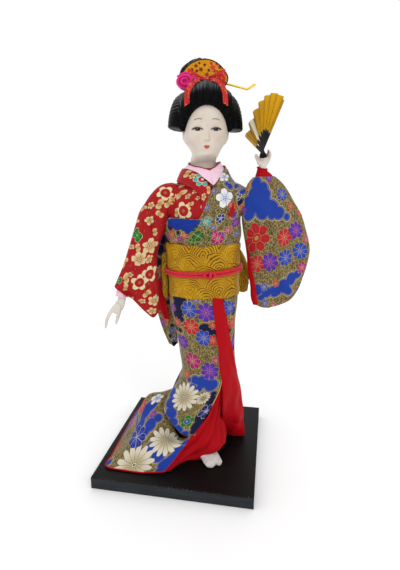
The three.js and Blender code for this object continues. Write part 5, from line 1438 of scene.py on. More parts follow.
G = over_arm(sleeve('right', RT, RB, RY, RH, 150, 130, None, 1, rfold), [(-39, -2, 190), (-52, -5, 160), (-62, -9, 137)])
N = normals(G, True)
c = G.mean(1, keepdims=True)
out = ((N * (G - c)).sum() > 0)
o = shell('right_sleeve_cloth', G, [MAT['red_brocade'], MAT['red']], .5, closed=True, flip=not out, uv=flat_uv(G))
R_SEEN = [(165.4, 192.2, 10, 'k'), (159.4, 203.5, 6, 'y'), (168.4, 203.5, 6, 'y'), (173, 199, 6, 'y'), (149.7, 220.7, 5.5, 'c'), (137, 235, 8, 'v'), (149.7, 246.2, 9, 'c'), (140, 259.7, 9, 'c'), (149, 259.7, 5, 'c'), (149.7, 274.7, 9, 'k'), (140, 283, 9, 'k'),
          (118.2, 280.7, 6.5, 'v'), (124.2, 262, 6, 'y'), (125.7, 279, 6, 'y'), (125.7, 288, 5, 'y'), (129.5, 274, 3.6, 'c'), (146.7, 294, 5, 'y'), (154.2, 301, 6.5, 'c'), (152, 311, 5.5, 'c'), (142, 301.6, 4, 'c'), (138, 248, 5, 'y'), (135.5, 221, 5, 'y'), (131.5, 247, 4, 'c'), (155, 232, 4.5, 'y'), (160, 214, 5, 'y'), (151, 205, 4.5, 'c'), (143.5, 208, 4.5, 'y')]
motifs(o, R_SEEN, (), fill='cyyck', size=(2.6, 4.6), gap=1.5, cfill=(), seed=29)
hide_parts("right_sleeve")
W([-21, 0, 207]).tolist()
W([-37, -2, 196]).tolist()
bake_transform(o)
cloth(o, (.12, .105), "hung", ["right_arm_padding"])

px = lambda pts, y: [tuple(at(a, b, y)[[0, 2]]) for a, b in pts]
LT = px([(253.2, 177.2), (248.6, 182.5), (244.4, 195), (242.4, 206), (241.9, 215.5), (242.6, 226), (244.5, 238), (246.4, 250), (247.6, 262), (249.2, 276), (251, 290), (252.4, 299), (255.4, 305), (260.5, 307.4)], -7)
LB = px([(272.6, 176.4), (280.6, 182.6), (288.6, 193.6), (293.4, 203.5), (297.5, 214), (303.4, 225), (307.3, 237), (309.2, 249.5), (307.2, 262.5), (302.8, 277), (298, 289), (290.4, 299), (277.4, 305), (269, 307.2)], -4)
LY = [(-6.4, -6.6), (-5.6, -5.6), (-4.6, -4.6), (-4.2, -4.2), (-4, -4), (-4, -4), (-4.2, -4), (-4.4, -4), (-4.6, -4.2), (-4.8, -4.4), (-5, -4.6), (-5, -4.8), (-5, -5), (-5, -5)]
LH = [(6.9, 6.9), (7.0, 7.0), (7.2, 7.2), (7.4, 7.4), (7.4, 7.6), (7.2, 7.4), (6.8, 6.8), (6.4, 6.2), (5.8, 5.6), (5.2, 5), (4.6, 4.4), (3.8, 3.6), (2.6, 2.6), (1.4, 1.4)]


def lfold(s, w, side):
    a = .9 * np.sin((s * 3.4 - w * 1.6) * 2 * pi * .8 + side * 1.3) * smooth01(s, .22, .5) * (1 - smooth01(s, .93, 1))
    drape = 1.2 * np.exp(-((w - .55 - .3 * (s - .5)) / .09) ** 2) * smooth01(s, .15, .35) * (1 - smooth01(s, .7, .95))
    return a + drape + .4 * waves(83, s * 5, w * 3 + side)


G = over_arm(sleeve('left', LT, LB, LY, LH, 150, 140, None, 2, lfold), [(37, -.6, 200), (43, -1, 197), (64, -2, 187.5), (66, -3.2, 190.5), (56, -5.5, 201.5), (47, -7.7, 211.6)])
G[..., 0] += 1.9 * np.exp(-((G[..., 2] - 189.5) / 6.5) ** 2) * smooth01(G[..., 0], 56, 67)  # elbow
N = normals(G, True)
c = G.mean(1, keepdims=True)
out = ((N * (G - c)).sum() > 0)
o = shell('left_sleeve_cloth', G, [MAT['brocade'], MAT['red']], .5, closed=True, flip=not out, uv=flat_uv(G))
L_SEEN = [(256.9, 238, 16, 'q'), (283.9, 237.2, 10, 'r'), (295.8, 230.4, 9.5, 'p'), (257.6, 263.4, 10, 'r'), (269.6, 262.7, 10.5, 'p'), (286, 258, 9.5, 'b'), (299.6, 250.7, 9.5, 'b'), (302, 268, 7, 'm'), (306, 239, 5.5, 'm'), (282.3, 194.5, 7, 'b'), (291, 206, 4.5, 'r')]
L_CL = [(256, 183, 8, BLUE), (262, 188, 8, BLUE), (255, 195, 10, BLUE), (261, 202, 12, BLUE), (250, 206, 11, BLUE), (270, 208, 10, BLUE), (279, 213, 8, BLUE), (286.5, 217, 5, BLUE), (265, 194, 7, BLUE), (249, 214, 8, BLUE), (261, 212, 9, BLUE), (272, 215, 6, BLUE),
        (258, 290, 7, BLUE), (266, 292, 7, BLUE), (275, 291, 8, BLUE), (284, 286, 9, BLUE), (291, 279, 8, BLUE), (297, 274, 6, BLUE), (289, 291, 6, BLUE), (262, 297, 5, BLUE)]
motifs(o, L_SEEN, L_CL, seed=31, size=(3, 4.4), cfill=((BLUE, 5), (NAVY, 2)), fill='brpmbro', tries=1500)
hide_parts("left_sleeve")
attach(o, "left_arm")
cloth(o, (.125, .115), "hung", ["left_arm_padding"])
# red lining along the sleeve's inner opening
a = px([(245.6, 246), (246.6, 256), (248.2, 270), (249.8, 285), (251.6, 299), (253.6, 305)], -9)
b = px([(246.4, 246), (249, 256), (252, 270), (254.6, 285), (257, 297), (258.6, 304.5)], -10)
A = np.array([(x, -7.2 - .2 * i, z) for i, (x, z) in enumerate(a)])
B = np.array([(x, -12.2 + .35 * i, z) for i, (x, z) in enumerate(b)])
G = surface([A, (A + B) / 2 + [0, -.9, 0], B], 20, 80).transpose(1, 0, 2)
G[..., 0] += .35 * np.sin(np.linspace(0, 12, 80))[:, None]
o = shell('left_sleeve_lining', G, [MAT['red'], MAT['red']], .5, flip=bool(normals(G)[40, 10, 1] > 0))
finish_piece(o, "left_arm", ())

# shoulder of the outer kimono, between the bodice and the left sleeve
rows = []
for x, zt, zb, y, d in ((12, 216.5, 186, 1.0, 14.5), (18, 213.6, 186, .9, 14.4), (23.5, 210.8, 187, .6, 12.6), (28, 208.8, 188.5, 0, 10.4), (32, 208.4, 189.5, -1.6, 9.0), (36, 209.6, 189.5, -3, 8.0), (43.2, 211, 189, -4, 7.5)):
    q = np.linspace(0, 2 * pi, 40, endpoint=False)
    rows.append(np.stack([x + 2.0 * np.cos(q), y - d * np.sin(q) * (.8 + .2 * np.abs(np.cos(q))), (zt + zb) / 2 + (zt - zb) / 2 * np.cos(q)], -1))
G = surface(rows, 60, 110, True)
u, v = np.linspace(0, 2 * pi, 110, endpoint=False)[None], np.linspace(0, 1, 60)[:, None]
N = normals(G, True)
c = G.mean(1, keepdims=True)
out = ((N * (G - c)).sum() > 0)
G = G + (N if out else -N) * (.5 * np.sin(np.cos(u) * 7 + v * 5) * smooth01(v, .2, .5) + .3 * waves(85, np.cos(u), np.sin(u), v * 2))[..., None]
o = shell('left_shoulder_cloth', G, [MAT['brocade'], MAT['red']], .5, closed=True, flip=not out)
motifs(o, [(238, 197, 4.5, 'n'), (241, 188, 4, 'b'), (240, 208, 4.5, 'r')], [(236, 186, 5, BLUE), (242, 192, 5, BLUE), (240, 202, 5, NAVY)], seed=37, size=(2.8, 4.2), cfill=((BLUE, 4),))
W([22, 0, 200]).tolist()
W([38, -2, 200]).tolist()
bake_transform(o)
cloth(o, (.075, .035), "draped", ["outer_kimono_cloth"])


# cuffs
def cuff(name, P, r0, r1, mat, on, node, fold, deep=1.0, slant=0.0):
    P = spline(np.array(P, float), 40)
    T, A, B = frames(P)
    q = np.linspace(0, 2 * pi, 72, endpoint=False)
    s = np.linspace(0, 1, 40)[:, None]
    r = r0 + (r1 - r0) * smooth01(s, 0, 1) + fold * np.sin(5 * q + 2 * s) * s + .5 * np.exp(-((1 - s) / .06) ** 2)
    G = P[:, None] + A[:, None] * (r * np.cos(q))[..., None] + B[:, None] * (deep * r * np.sin(q))[..., None]
    G[..., 2] -= slant * smooth01(s, .3, 1) * (.5 + .5 * (G[..., 0] - P[:, None, 0]) / r)
    N = normals(G, True)
    out = ((N * (G - P[:, None])).sum() > 0)
    o = shell(name, G, [mat, mat], .45, closed=True, flip=not out)
    finish_piece(o, on, [node])
    return o


o = cuff('right_cuff_cloth', [(-60.4, -8.2, 140.5), (-62.2, -9.2, 134.8), (-62.9, -9.8, 128.7)], 3.3, 4.6, MAT['pale_pink'], "right_arm", "right_cuff", .18, .84)
cloth(o, (.03, .017), "stretched", ["right_arm_padding"])
o = cuff('left_cuff_cloth', [at(264.2, 182, -7.2), at(263.2, 174, -7.8), at(262.3, 165.8, -9.0)], 7.3, 3.4, MAT['red'], "left_arm", "left_cuff", .3, .82, 2.6)
cloth(o, (.034, .0125), "stretched", ["left_arm_padding"])


# ---------------------------------------------------------------- hands and feet
def finger(P, r0, r1):
    P = spline(np.array(P, float), 18)
    r = np.linspace(r0, r1, 18)
    r[-1] *= .35
    r[-2] *= .78
    r[-3] *= .94
    return tube('f', P, r, [MAT['skin']], n=10, up=(.3, 1, .1))


parts = [tube('f', spline(np.array([(-61.9, -9.6, 132.4), (-62.8, -10.0, 127.0), (-64.8, -10.6, 122.0), (-67.8, -11.2, 117.8)]), 20),
              np.array([(2.0, 2.0), (2.1, 2.1), (2.3, 2.2), (2.5, 2.3), (2.7, 2.35)] + [(2.8 + .14 * i, 2.3 - .02 * i) for i in range(10)] + [(4.0 - .3 * i, 2.1 - .12 * i) for i in range(5)]) * [.95, .95], [MAT['skin']], n=16)]
for P, r0, r1 in (([at(114.0, 307.4, -12.0), at(109.6, 314.6, -12.8), at(107.1, 320.8, -13.2), at(106.2, 327.4, -13.4)], 1.35, .72),
                  ([at(114.4, 306.6, -11.2), at(108.9, 314.3, -11.7), at(106.4, 320.6, -12.0), at(105.5, 328.8, -12.1)], 1.35, .72),
                  ([at(114.2, 306.4, -10.4), at(108.7, 314.2, -10.5), at(106.1, 320.2, -10.6), at(105.3, 327.2, -10.6)], 1.25, .68),
                  ([at(114.6, 306.8, -9.8), at(109.2, 314.0, -9.6), at(106.8, 318.6, -9.3), at(106.0, 323.6, -9.2)], 1.1, .62),
                  ([at(119.6, 306.6, -11.4), at(118.7, 313.4, -12.5), at(117.3, 318.8, -13.2), at(115.7, 324.6, -13.4)], 2.0, .85)):
    parts.append(finger(P, r0, r1))
parts.append(tube('f', spline(np.array([at(119.0, 303.5, -10.9), at(117.0, 308.4, -11.4), at(114.2, 313.0, -11.8)], float), 12), np.linspace(2.9, 1.5, 12), [MAT['skin']], n=16))
o = fused('right_hand_skin', parts, MAT['skin'], .32, 5)
finish_piece(o, "right_hand", ["right_hand"])

parts = [tube('f', spline(np.array([(40.9, -9.2, 218.4), (41.0, -9.3, 224.2), (41.1, -9.4, 228), (41.3, -9.4, 230.8)]), 20),
              np.array([(2.35, 2.2)] * 6 + [(2.5 + .22 * i, 2.2 + .03 * i) for i in range(9)] + [(4.1 - .45 * i, 2.3 - .22 * i) for i in range(5)]) * [.95, .95], [MAT['skin']], n=16)]
for P, r0, r1 in (([(43.4, -9.0, 226.0), (45.1, -9.4, 229.6), (45.2, -11.2, 231.8), (44.5, -12.6, 232.4)], 1.6, 1.05),
                  ([(43.2, -8.0, 226.6), (45.0, -8.0, 230.6), (45.1, -9.6, 233.0), (44.5, -11.0, 233.7)], 1.6, 1.0),
                  ([(42.6, -7.4, 227.4), (44.5, -6.8, 231.4), (44.7, -8.0, 233.8), (44.1, -9.4, 234.6)], 1.45, .9),
                  ([(38.9, -10.2, 225.0), (36.8, -11.4, 228.2), (35.4, -12.8, 230.2), (35.0, -14.0, 231.2)], 1.85, 1.1)):
    parts.append(finger(P, r0, r1))
o = fused('left_hand_skin', parts, MAT['skin'], .32, 5)
finish_piece(o, "left_hand", ["left_hand"])


def foot(name, heel, d, length, node, big, k=1.0):
    """Split-toe sock: heel, ankle, instep, and two toe lobes."""
    d = np.array([d[0], d[1], 0]) / math.hypot(*d)
    s = np.array([d[1], -d[0], 0]) * big * k
    h = np.array([heel[0], heel[1], 0.0])
    P = lambda a, b, z: h + d * a * length + s * b + np.array([0, 0, z])
    rows = []
    q = np.linspace(0, 2 * pi, 26, endpoint=False)
    for a, w, top, c in ((-.02, 1.6, 4.6, 0), (.03, 3.4, 7.6, 0), (.16, 4.5, 9.2, 0), (.34, 4.5, 8.8, .1), (.55, 5.0, 7.2, .3), (.74, 5.4, 5.6, .4), (.84, 5.2, 4.9, .4), (.9, 4.5, 4.3, .4), (.945, 3.0, 3.2, .5)):
        zz = .4 + (top) * (.5 + .5 * np.sin(q)) ** .9
        rows.append(np.stack([P(a, c, 0)[0] + s[0] * w * np.cos(q), P(a, c, 0)[1] + s[1] * w * np.cos(q), zz], -1))
    parts = [skin('f', surface(rows, 40, 40, True), [MAT['tabi']])]

    def toe(b, w, a1, hgt):
        rr = []
        for a, k, hh in ((.62, .6, .9), (.76, 1, 1.0), (.89, 1.03, .92), (a1 - .035, .9, .76), (a1, .4, .4)):
            c = P(a, b, 0)
            zz = .4 + hgt * hh * (.5 + .5 * np.sin(q)) ** .85
            rr.append(np.stack([c[0] + s[0] * w * k * np.cos(q), c[1] + s[1] * w * k * np.cos(q), zz], -1))
        return skin('f', surface(rr, 26, 30, True), [MAT['tabi']])
    parts.append(toe(3.35, 2.15, .985, 4.4))
    parts.append(toe(-1.5, 3.15, .985, 4.0))
    ank = tube('f', spline(np.array([P(.12, 0, 5), P(.11, 0, 10), P(.1, 0, 17)]), 10), np.linspace(4.2, 4.6, 10), [MAT['tabi']], n=20, up=tuple(s / k))
    parts.append(ank)
    o = fused(name, parts, MAT['tabi'], .34, 3)
    finish_piece(o, "body", [node])


foot('right_tabi', (-7.1, -3.5), (.392, -.92), 37.6, "right_foot", -1, 1.36)
foot('left_tabi', (17.2, 32.2), (.12, -.993), 27, "left_foot", 1)

# ---------------------------------------------------------------- head
SKULL = [[222, 0, 1.2, 9.6, 8.8], [226, 0, .6, 9.3, 8.8], [229, 0, -1.2, 9.2, 10.6], [231, 0, -1.8, 9.4, 12.4], [233, 0, -1.5, 9.9, 13.5], [235, 0, -1.1, 10.8, 14.5], [236.6, 0, -.9, 11.8, 15.1], [238.4, 0, -.7, 13.2, 15.7], [240.4, 0, -.5, 15.0, 16.3], [243.6, 0, -.2, 16.4, 17.0], [247, 0, 0, 16.6, 17.4],
         [254, 0, .2, 16.4, 17.7], [262, 0, .6, 15.2, 16.6], [268, 0, 1.2, 12.2, 13.4], [272, 0, 1.2, 7.6, 8.4], [274.2, 0, 1.2, 2.0, 2.4]]
R = spline(np.array(SKULL, float), 150)
q = np.radians(np.arange(180) * 2.0 - 90)
fx, fz = R[:, 3:4] * np.cos(q), np.repeat(R[:, :1], 180, 1)
hy = R[:, 2:3] + R[:, 4:5] * np.sign(np.sin(q)) * np.abs(np.sin(q)) ** .92
fr = smooth01(-np.sin(q), .1, .5)[None]
xx = fx + .15
nose = np.where(fz > 241, np.exp(-((fz - 241) / 5.2) ** 2), np.exp(-((fz - 241) / 1.35) ** 2)) * np.exp(-(xx / (1.25 + .5 * np.exp(-((fz - 240.6) / 1.6) ** 2))) ** 2)
d = 2.1 * nose - .75 * np.exp(-((np.abs(xx) - 6.2) / 3.3) ** 2 - ((fz - 247.2) / 2.5) ** 2) + .35 * np.exp(-((np.abs(xx) - 6.2) / 2.6) ** 2 - ((fz - 247.0) / 1.3) ** 2)
d += .5 * np.exp(-(xx / 2.2) ** 2 - ((fz - 236.5) / .8) ** 2) + .45 * np.exp(-(xx / 1.9) ** 2 - ((fz - 235.0) / .7) ** 2) - .3 * np.exp(-(xx / 2.6) ** 2 - ((fz - 235.85) / .28) ** 2)
d += .7 * np.exp(-(xx / 3.6) ** 2 - ((fz - 231.2) / 1.9) ** 2) + .45 * np.exp(-((np.abs(xx) - 7.8) / 4) ** 2 - ((fz - 241) / 4) ** 2) - .3 * np.exp(-(xx / 3.4) ** 2 - ((fz - 233.4) / .9) ** 2)
G = np.stack([fx - 1.7 * (1 - smooth01(fz, 227, 234)), hy - d * fr, fz], -1)
o = skin('head_skin', HD(G), [MAT['face']])
hp = np.concatenate([G.reshape(-1, 3), G[0].mean(0)[None], G[-1].mean(0)[None]])
x = o.data.attributes.new('hp', 'FLOAT_VECTOR', 'POINT')
x.data.foreach_set('vector', hp.astype(np.float32).ravel())
finish_piece(o, "head", ["head"])


# ---------------------------------------------------------------- wig
def mirror(h):
    return h + [(-x, y, z) for x, y, z in h[-2::-1]]


PF = [mirror([(-15.3, -7.9, 246.6), (-14.0, -10.0, 250.5), (-11.4, -13.1, 256), (-6.8, -15.4, 260.6), (0, -16.3, 262.8)]),
      mirror([(-17.4, -8.8, 247.6), (-16.4, -12.2, 252.4), (-13.4, -16.0, 258.4), (-8.0, -18.6, 263), (0, -19.7, 265)]),
      mirror([(-19.6, -8.4, 251.5), (-18.4, -12.6, 258.2), (-14.8, -17.2, 264.6), (-8.4, -20.0, 268.4), (0, -20.9, 269.8)]),
      mirror([(-20.4, -5.0, 258), (-18.8, -10.0, 264.8), (-14.8, -15.0, 270.2), (-8.2, -17.6, 273.8), (0, -18.4, 275.0)]),
      mirror([(-18.2, -.6, 266), (-16.0, -6.0, 270.8), (-12.0, -10.4, 274.8), (-6.4, -12.2, 277.8), (0, -12.8, 278.6)]),
      mirror([(-13, 3.5, 271.4), (-11.6, -1.5, 274.8), (-8.4, -5, 277.4), (-4.4, -6.2, 279.2), (0, -6.6, 279.6)]),
      mirror([(-7, 6, 274), (-6, 3, 276.4), (-5, 1.6, 277.6), (-2.6, 1.0, 278.4), (0, 1.0, 278.6)])]
G = surface(PF, 110, 260)
u, v = np.linspace(-1, 1, 260)[None], np.linspace(0, 1, 110)[:, None]
N = normals(G)
if N[40, 130, 1] > 0:
    N = -N
comb = .16 * np.sin(u * 150 + 3 * np.sin(v * 3)) + .12 * waves(91, u * 34, v * 1.2, lo=.8, hi=1.2) + .3 * waves(92, u * 7, v * .8)
G = G + N * (comb * smooth01(v, 0, .08))[..., None]
POMP = G.reshape(-1, 3)
uvh = arc_uv(G)[..., ::-1]
o = shell('hair_front_pompadour', HD(G), [MAT['hair'], MAT['hair']], 1.2, flip=bool(normals(G)[40, 130, 1] > 0), uv=uvh)
finish_piece(o, "head", ["hair_front_roll"])


def hair_form(name, rows, nv, nu, ridge, nodes, along='u', tilt=0):
    """Combed lump: rows are [z, x, y, half width, half depth]."""
    R = spline(np.array(rows, float), nv)
    q = np.linspace(0, 2 * pi, nu, endpoint=False)
    G = np.stack([R[:, 1:2] + R[:, 3:4] * np.cos(q), R[:, 2:3] + R[:, 4:5] * np.sin(q), np.repeat(R[:, :1], nu, 1)], -1)
    N = normals(G, True)
    c = G.mean((0, 1))
    if (N * (G - c)).sum() < 0:
        N = -N
    s = np.linspace(0, 1, nv)[:, None]
    if tilt:
        G[..., 2] += tilt * np.clip(np.abs(G[..., 0]) - 17, 0, 9) * (1 - smooth01(s, 0, .6))
    G = G + N * (ridge(s, q[None], G) * smooth01(s, 0, .06) * (1 - smooth01(s, .94, 1)))[..., None]
    o = skin(name, HD(G), [MAT['hair']])
    if along == 'v':
        lay = o.data.uv_layers['uvmm']
        k = np.zeros(len(o.data.loops) * 2, np.float32)
        lay.data.foreach_get('uv', k)
        lay.data.foreach_set('uv', k.reshape(-1, 2)[:, ::-1].copy().ravel())
    finish_piece(o, "head", nodes)
    return o


for s, nm in ((-1, 'right'), (1, 'left')):
    rows = [[248.8, s * 20.2, 1.5, 2, 3.0], [249.0, s * 20.2, 1.5, 5.4, 8.2], [249.6, s * 20.2, 1.5, 6.4, 10.0], [253, s * 20.0, 1.2, 6.5, 11], [258, s * 19.1, 1.2, 6.7, 11.8], [264, s * 17.4, 1.6, 6.9, 11.6], [270, s * 14.2, 2.2, 7.0, 9.8], [274, s * 10.6, 2.5, 5.0, 6.5], [276.4, s * 8, 2.5, 1.6, 2]]
    ridge = lambda t, q, G: .26 * np.abs(np.sin((G[..., 2] - 246.2) * pi / 2.3 + .35 * np.sin(q * 2 + 1))) ** .6 + .06 * waves(95, G[..., 2] * 1.3, q * .6, lo=.8, hi=1.2)
    hair_form(f'hair_{nm}_wing_puff', rows, 110, 120, ridge, [f'hair_{nm}_wing'], tilt=.18 if s < 0 else -.05)
rows = [[235.6, 0, 13.5, 2, 1.6], [236.2, 0, 13.4, 6, 4.6], [239, 0, 12.4, 9.6, 8.4], [244, 0, 11.2, 13.2, 11.8], [250, 0, 10, 16.6, 14.2], [257, 0, 9, 18.2, 15.4], [264, 0, 7.4, 17.4, 15], [270, 0, 6, 14.4, 12.6], [275, 0, 4.6, 9.8, 9.2], [278.4, 0, 4, 4, 4]]
hair_form('hair_back_mass', rows, 110, 200, lambda t, q, G: .28 * waves(97, q * 9, t * 1.2) + .14 * np.sin(q * 75), ["hair_back"], 'v')
rows = [[275, -.8, 6.5, 6.5, 5.2], [278.4, -1.4, 7, 10.5, 7.2], [282.8, -2.0, 7.5, 14.4, 8.4], [287.2, -2.4, 7.6, 15.4, 8.7], [291.4, -2.4, 7.6, 13.8, 8.0], [294.8, -2.0, 7.4, 9.6, 6.2], [296.7, -1.8, 7.2, 4.6, 3.2], [297.1, -1.8, 7.2, 1.2, 1]]
hair_form('hair_bun_top', rows, 90, 160, lambda t, q, G: .26 * waves(99, q * 8, t) + .13 * np.sin(q * 60), ["hair_bun"], 'v')

# gold crown panel with a black rim
RIM = spline(np.array([(-13.6, 277.6), (-15.4, 280.8), (-15.6, 283.8), (-14.2, 287.6), (-10.8, 291.0), (-5.6, 293.6), (0, 294.5), (5.4, 293.8), (10.4, 291.2), (14.2, 287.4), (16.2, 283.9), (15.9, 281.0), (14.0, 277.6)]), 120)


def crown_pt(r):
    q = np.array([0, 279.6]) + (RIM - [0, 279.6]) * r
    return np.stack([q[:, 0] - .9, -4.6 + .13 * (q[:, 1] - 279) - 1.0 * (1 - r * r) + .008 * q[:, 0] ** 2, q[:, 1]], -1)


G = np.stack([crown_pt(r) for r in np.linspace(.02, .97, 40)])
uvc = np.stack([G[..., 0], G[..., 2]], -1)
G = HD(G)
o = shell('crown_panel', G, [MAT['crown'], MAT['black']], 1.6, flip=bool(normals(G)[20, 60, 1] > 0), uv=uvc)
finish_piece(o, "head", ["crown_comb"])
P = HD(crown_pt(1.0))
o = tube('crown_rim', P + [0, .7, 0], np.tile([[.42, 1.0]], (120, 1)), [MAT['black']], n=12)
finish_piece(o, "head", ())

# crepe bow, its knot and two tails
def bow_loop(name, s, L, rise, c):
    t = np.linspace(0, 1, 80)
    k = np.sin(pi * t) ** .75
    rows = []
    for e in np.linspace(-1, 1, 22):
        wd = 1.1 + 2.3 * smooth01(k, .1, .9)
        pleat = .45 * np.sin(e * 8 + 2 * np.cos(pi * t)) * (1 - .75 * k) + .2 * np.sin(e * 3 + k * 4)
        rows.append(np.stack([c[0] + s * L * k, c[1] - (1.2 * np.cos(pi * t) + .5 * np.sin(2 * pi * t)) * (.35 + .65 * k) - .6 * k + pleat, c[2] + rise * k + e * wd + .3 * np.sin(k * 6 + e)], -1))
    G = HD(np.array(rows))
    o = shell(name, G, [MAT['ribbon'], MAT['ribbon']], .35)
    finish_piece(o, "head", ["ribbon_bow"] if s < 0 else ())
    return o


bow_loop('bow_loop_right', -1, 11.6, 3.4, (-.9, -8.6, 279.8))
bow_loop('bow_loop_left', 1, 12.8, 3.4, (-.1, -8.6, 279.9))
rows = []
q = np.linspace(0, 2 * pi, 30, endpoint=False)
for x, k in ((-1.9, .55), (-1.5, .9), (-.6, 1.02), (.6, 1.02), (1.5, .9), (1.9, .55)):
    rows.append(HD(np.stack([-.5 + np.full(30, x), -9.6 + 2.0 * k * np.cos(q) + .2 * np.cos(5 * q), 279.6 + 2.0 * k * np.sin(q) + .2 * np.sin(5 * q)], -1)))
o = skin('bow_knot', surface(rows, 24, 60, True), [MAT['ribbon']])
finish_piece(o, "head", ())


def on_hair(x, z, g):
    d = np.hypot(POMP[:, 0] - x, POMP[:, 2] - z)
    return POMP[d < d.min() + .8, 1].min() - g


for s, nm in ((1, 'left'), (-1, 'right')):
    pts = [(2.4, 278.6), (5.6, 277.8), (8.0, 276.0), (10.0, 273.2), (11.2, 269.6), (11.7, 266), (11.9, 262.4)] if s > 0 else [(-5.0, 278.2), (-8.4, 277.2), (-10.8, 274.8), (-12.6, 271.8), (-13.6, 268.6), (-13.9, 265.8), (-13.8, 262.2)]
    P = spline(np.array([(x, 0, z) for x, z in pts]), 80)
    P[:, 1] = [on_hair(x, z, .75) for x, _, z in P]
    P[:, 1] = np.convolve(np.pad(P[:, 1], 6, 'edge'), np.ones(13) / 13, 'valid')
    T, A, B = frames(P, (0, 1, 0))
    e = np.linspace(-1, 1, 14)
    tt = np.linspace(0, 1, 80)
    wd = 1.25 + .5 * smooth01(tt, .1, .4)
    G = P[:, None] + (A * [1, 0, 1])[:, None] * (e[None] * wd[:, None])[..., None]
    for i in range(G.shape[0]):
        for j in range(G.shape[1]):
            G[i, j, 1] = min(P[i, 1] + .4, on_hair(G[i, j, 0], G[i, j, 2], .55))
    G[..., 1] -= .22 * np.cos(e * 2.4)[None] + .16 * np.sin(tt * 14)[:, None] + .12 * np.sin(tt[:, None] * 9 + e[None] * 4)
    G[-6:, :, 2] += (np.linspace(0, 1, 6)[:, None] * e[None]) * (-.9 * s)
    G = HD(G)
    o = shell(f'bow_tail_{nm}', G, [MAT['ribbon'], MAT['ribbon']], .3, flip=bool(normals(G)[40, 6, 1] > 0))
    finish_piece(o, "head", [f'ribbon_tail_{nm}'])

# ribbon rose: a band wound outwards over a padded centre, its edge rolled back
n = 420
t = np.linspace(0, 1, n)
ang = t * 2.3 * 2 * pi + .6
rad = 1.0 + 4.6 * t
fade = 1 - smooth01(t, .9, 1)
rows = []
for w in np.linspace(0, 1, 24):
    rr = rad * (.78 + .22 * w) + (1.3 * w ** 2.5 * (.3 + .8 * t)) * (.4 + .6 * fade) + .25 * np.sin(ang * 1.9 + 1) * w * t
    out = 1.8 - (6.0 - 3.6 * t) * np.sin(w * pi * .62) * (.4 + .6 * fade) + .3 * np.sin(ang * 1.3) * w
    rows.append(np.stack([-14.5 + rr * np.cos(ang) * 1.24, -8.9 + out, 278.5 + rr * np.sin(ang) * .93], -1))
G = HD(np.array(rows))
o = shell('ribbon_rose', G, [MAT['rose'], MAT['rose']], .35)
finish_piece(o, "head", ["rose"])
q = np.linspace(0, 2 * pi, 40, endpoint=False)
rows = [HD(np.stack([-14.4 + 5.4 * c * np.cos(q), np.full(40, -8.6 + y), 278.3 + 5.4 * c * np.sin(q)], -1)) for c, y in ((.2, 1.9), (.8, 1.6), (1.0, .6), (.9, -.5), (.55, -1.3), (.15, -1.7))]
o = skin('ribbon_rose_centre', surface(rows, 24, 50, True), [MAT['rose']])
finish_piece(o, "head", ())

# gilt hairpin
P = spline(np.array([(-5, 2.5, 285.0), (13.6, 2.5, 280.8), (29.4, 2.5, 277.2)]), 30)
P = np.concatenate([P, spline(np.array([(30.2, 2.5, 277.1), (32.4, 2.5, 278.5), (35.6, 2.5, 280.5)]), 14)])
r = np.full(44, .72)
r[30:] = np.linspace(.8, .95, 14)
r[-2:] = (.85, .45)
o = tube('hairpin_gilt', HD(P), r, [MAT['gilt']], n=12)
finish_piece(o, "head", ["hairpin"])

# ---------------------------------------------------------------- fan leaf: one folded panel between each pair of ribs
e1 = np.array([-.2696, .8484, .4556])
e1 /= np.linalg.norm(e1)
nn = np.cross([.2004, -.4133, .8883], e1)
nn /= np.linalg.norm(nn)
e2 = np.cross(e1, nn)
piv = np.array([41.73, -14.86, 230.34])
step, pitch, r_in, r_out = math.radians(14.4), .55, 16.8, 38.8
rib_dir = lambda a: np.cos(a)[:, None] * e1 + np.sin(a)[:, None] * e2
fan_bodies = ["left_hand"] + [f"fan_blade_{k}" for k in range(1, 8)]
rad = np.linspace(r_in, r_out, 30)
for k in range(7):
    flat = 1.08 / rad / step  # glued to the rib over its width
    lo = -1.34 / rad / step if k == 0 else 0 * rad
    hi = 1 + 1.34 / rad / step if k == 6 else 1 + 0 * rad
    vee = .42 + 0 * rad
    cols, wts = [], []
    for a, b, za, zb, wa, wb, m in ((lo, flat, 0, 0, 0, 0, 4), (flat, vee, 0, -1, 0, 0, 9), (vee, 1 - flat, -1, 1, 0, 1, 9), (1 - flat, hi, 1, 1, 1, 1, 4)):
        for f in np.linspace(0, 1, m, endpoint=False) if m != 4 or za == 0 else np.linspace(0, 1, m):
            fa = a * (1 - f) + b * f
            depth = lambda z: (k * pitch + .31 - 2.5 * rad / r_out) if z < 0 else (k + z) * pitch + .31 + 0 * rad
            cols.append(piv + rib_dir((k + fa) * step) * rad[:, None] + nn * (depth(za) * (1 - f) + depth(zb) * f)[:, None])
            wts.append(np.full(30, wa * (1 - f) + wb * f))
    G = np.array(cols).transpose(1, 0, 2)
    nu = G.shape[1]
    uvf = np.stack(np.meshgrid(np.linspace(k * 9, k * 9 + 9, nu), rad), -1)
    o = shell(f'fan_pleat_{k + 1}', G, [MAT['fan'], MAT['fan']], .1, flip=bool((normals(G)[15, 2] * nn).sum() < 0), uv=uvf)
    o.data.polygons.foreach_set("use_smooth", np.zeros(len(o.data.polygons), bool))
    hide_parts(f'fan_leaf_{k + 1}')
    fan_bodies[k + 1]
    W(piv).tolist()
    W(piv + e2 * 10).tolist()
    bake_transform(o)

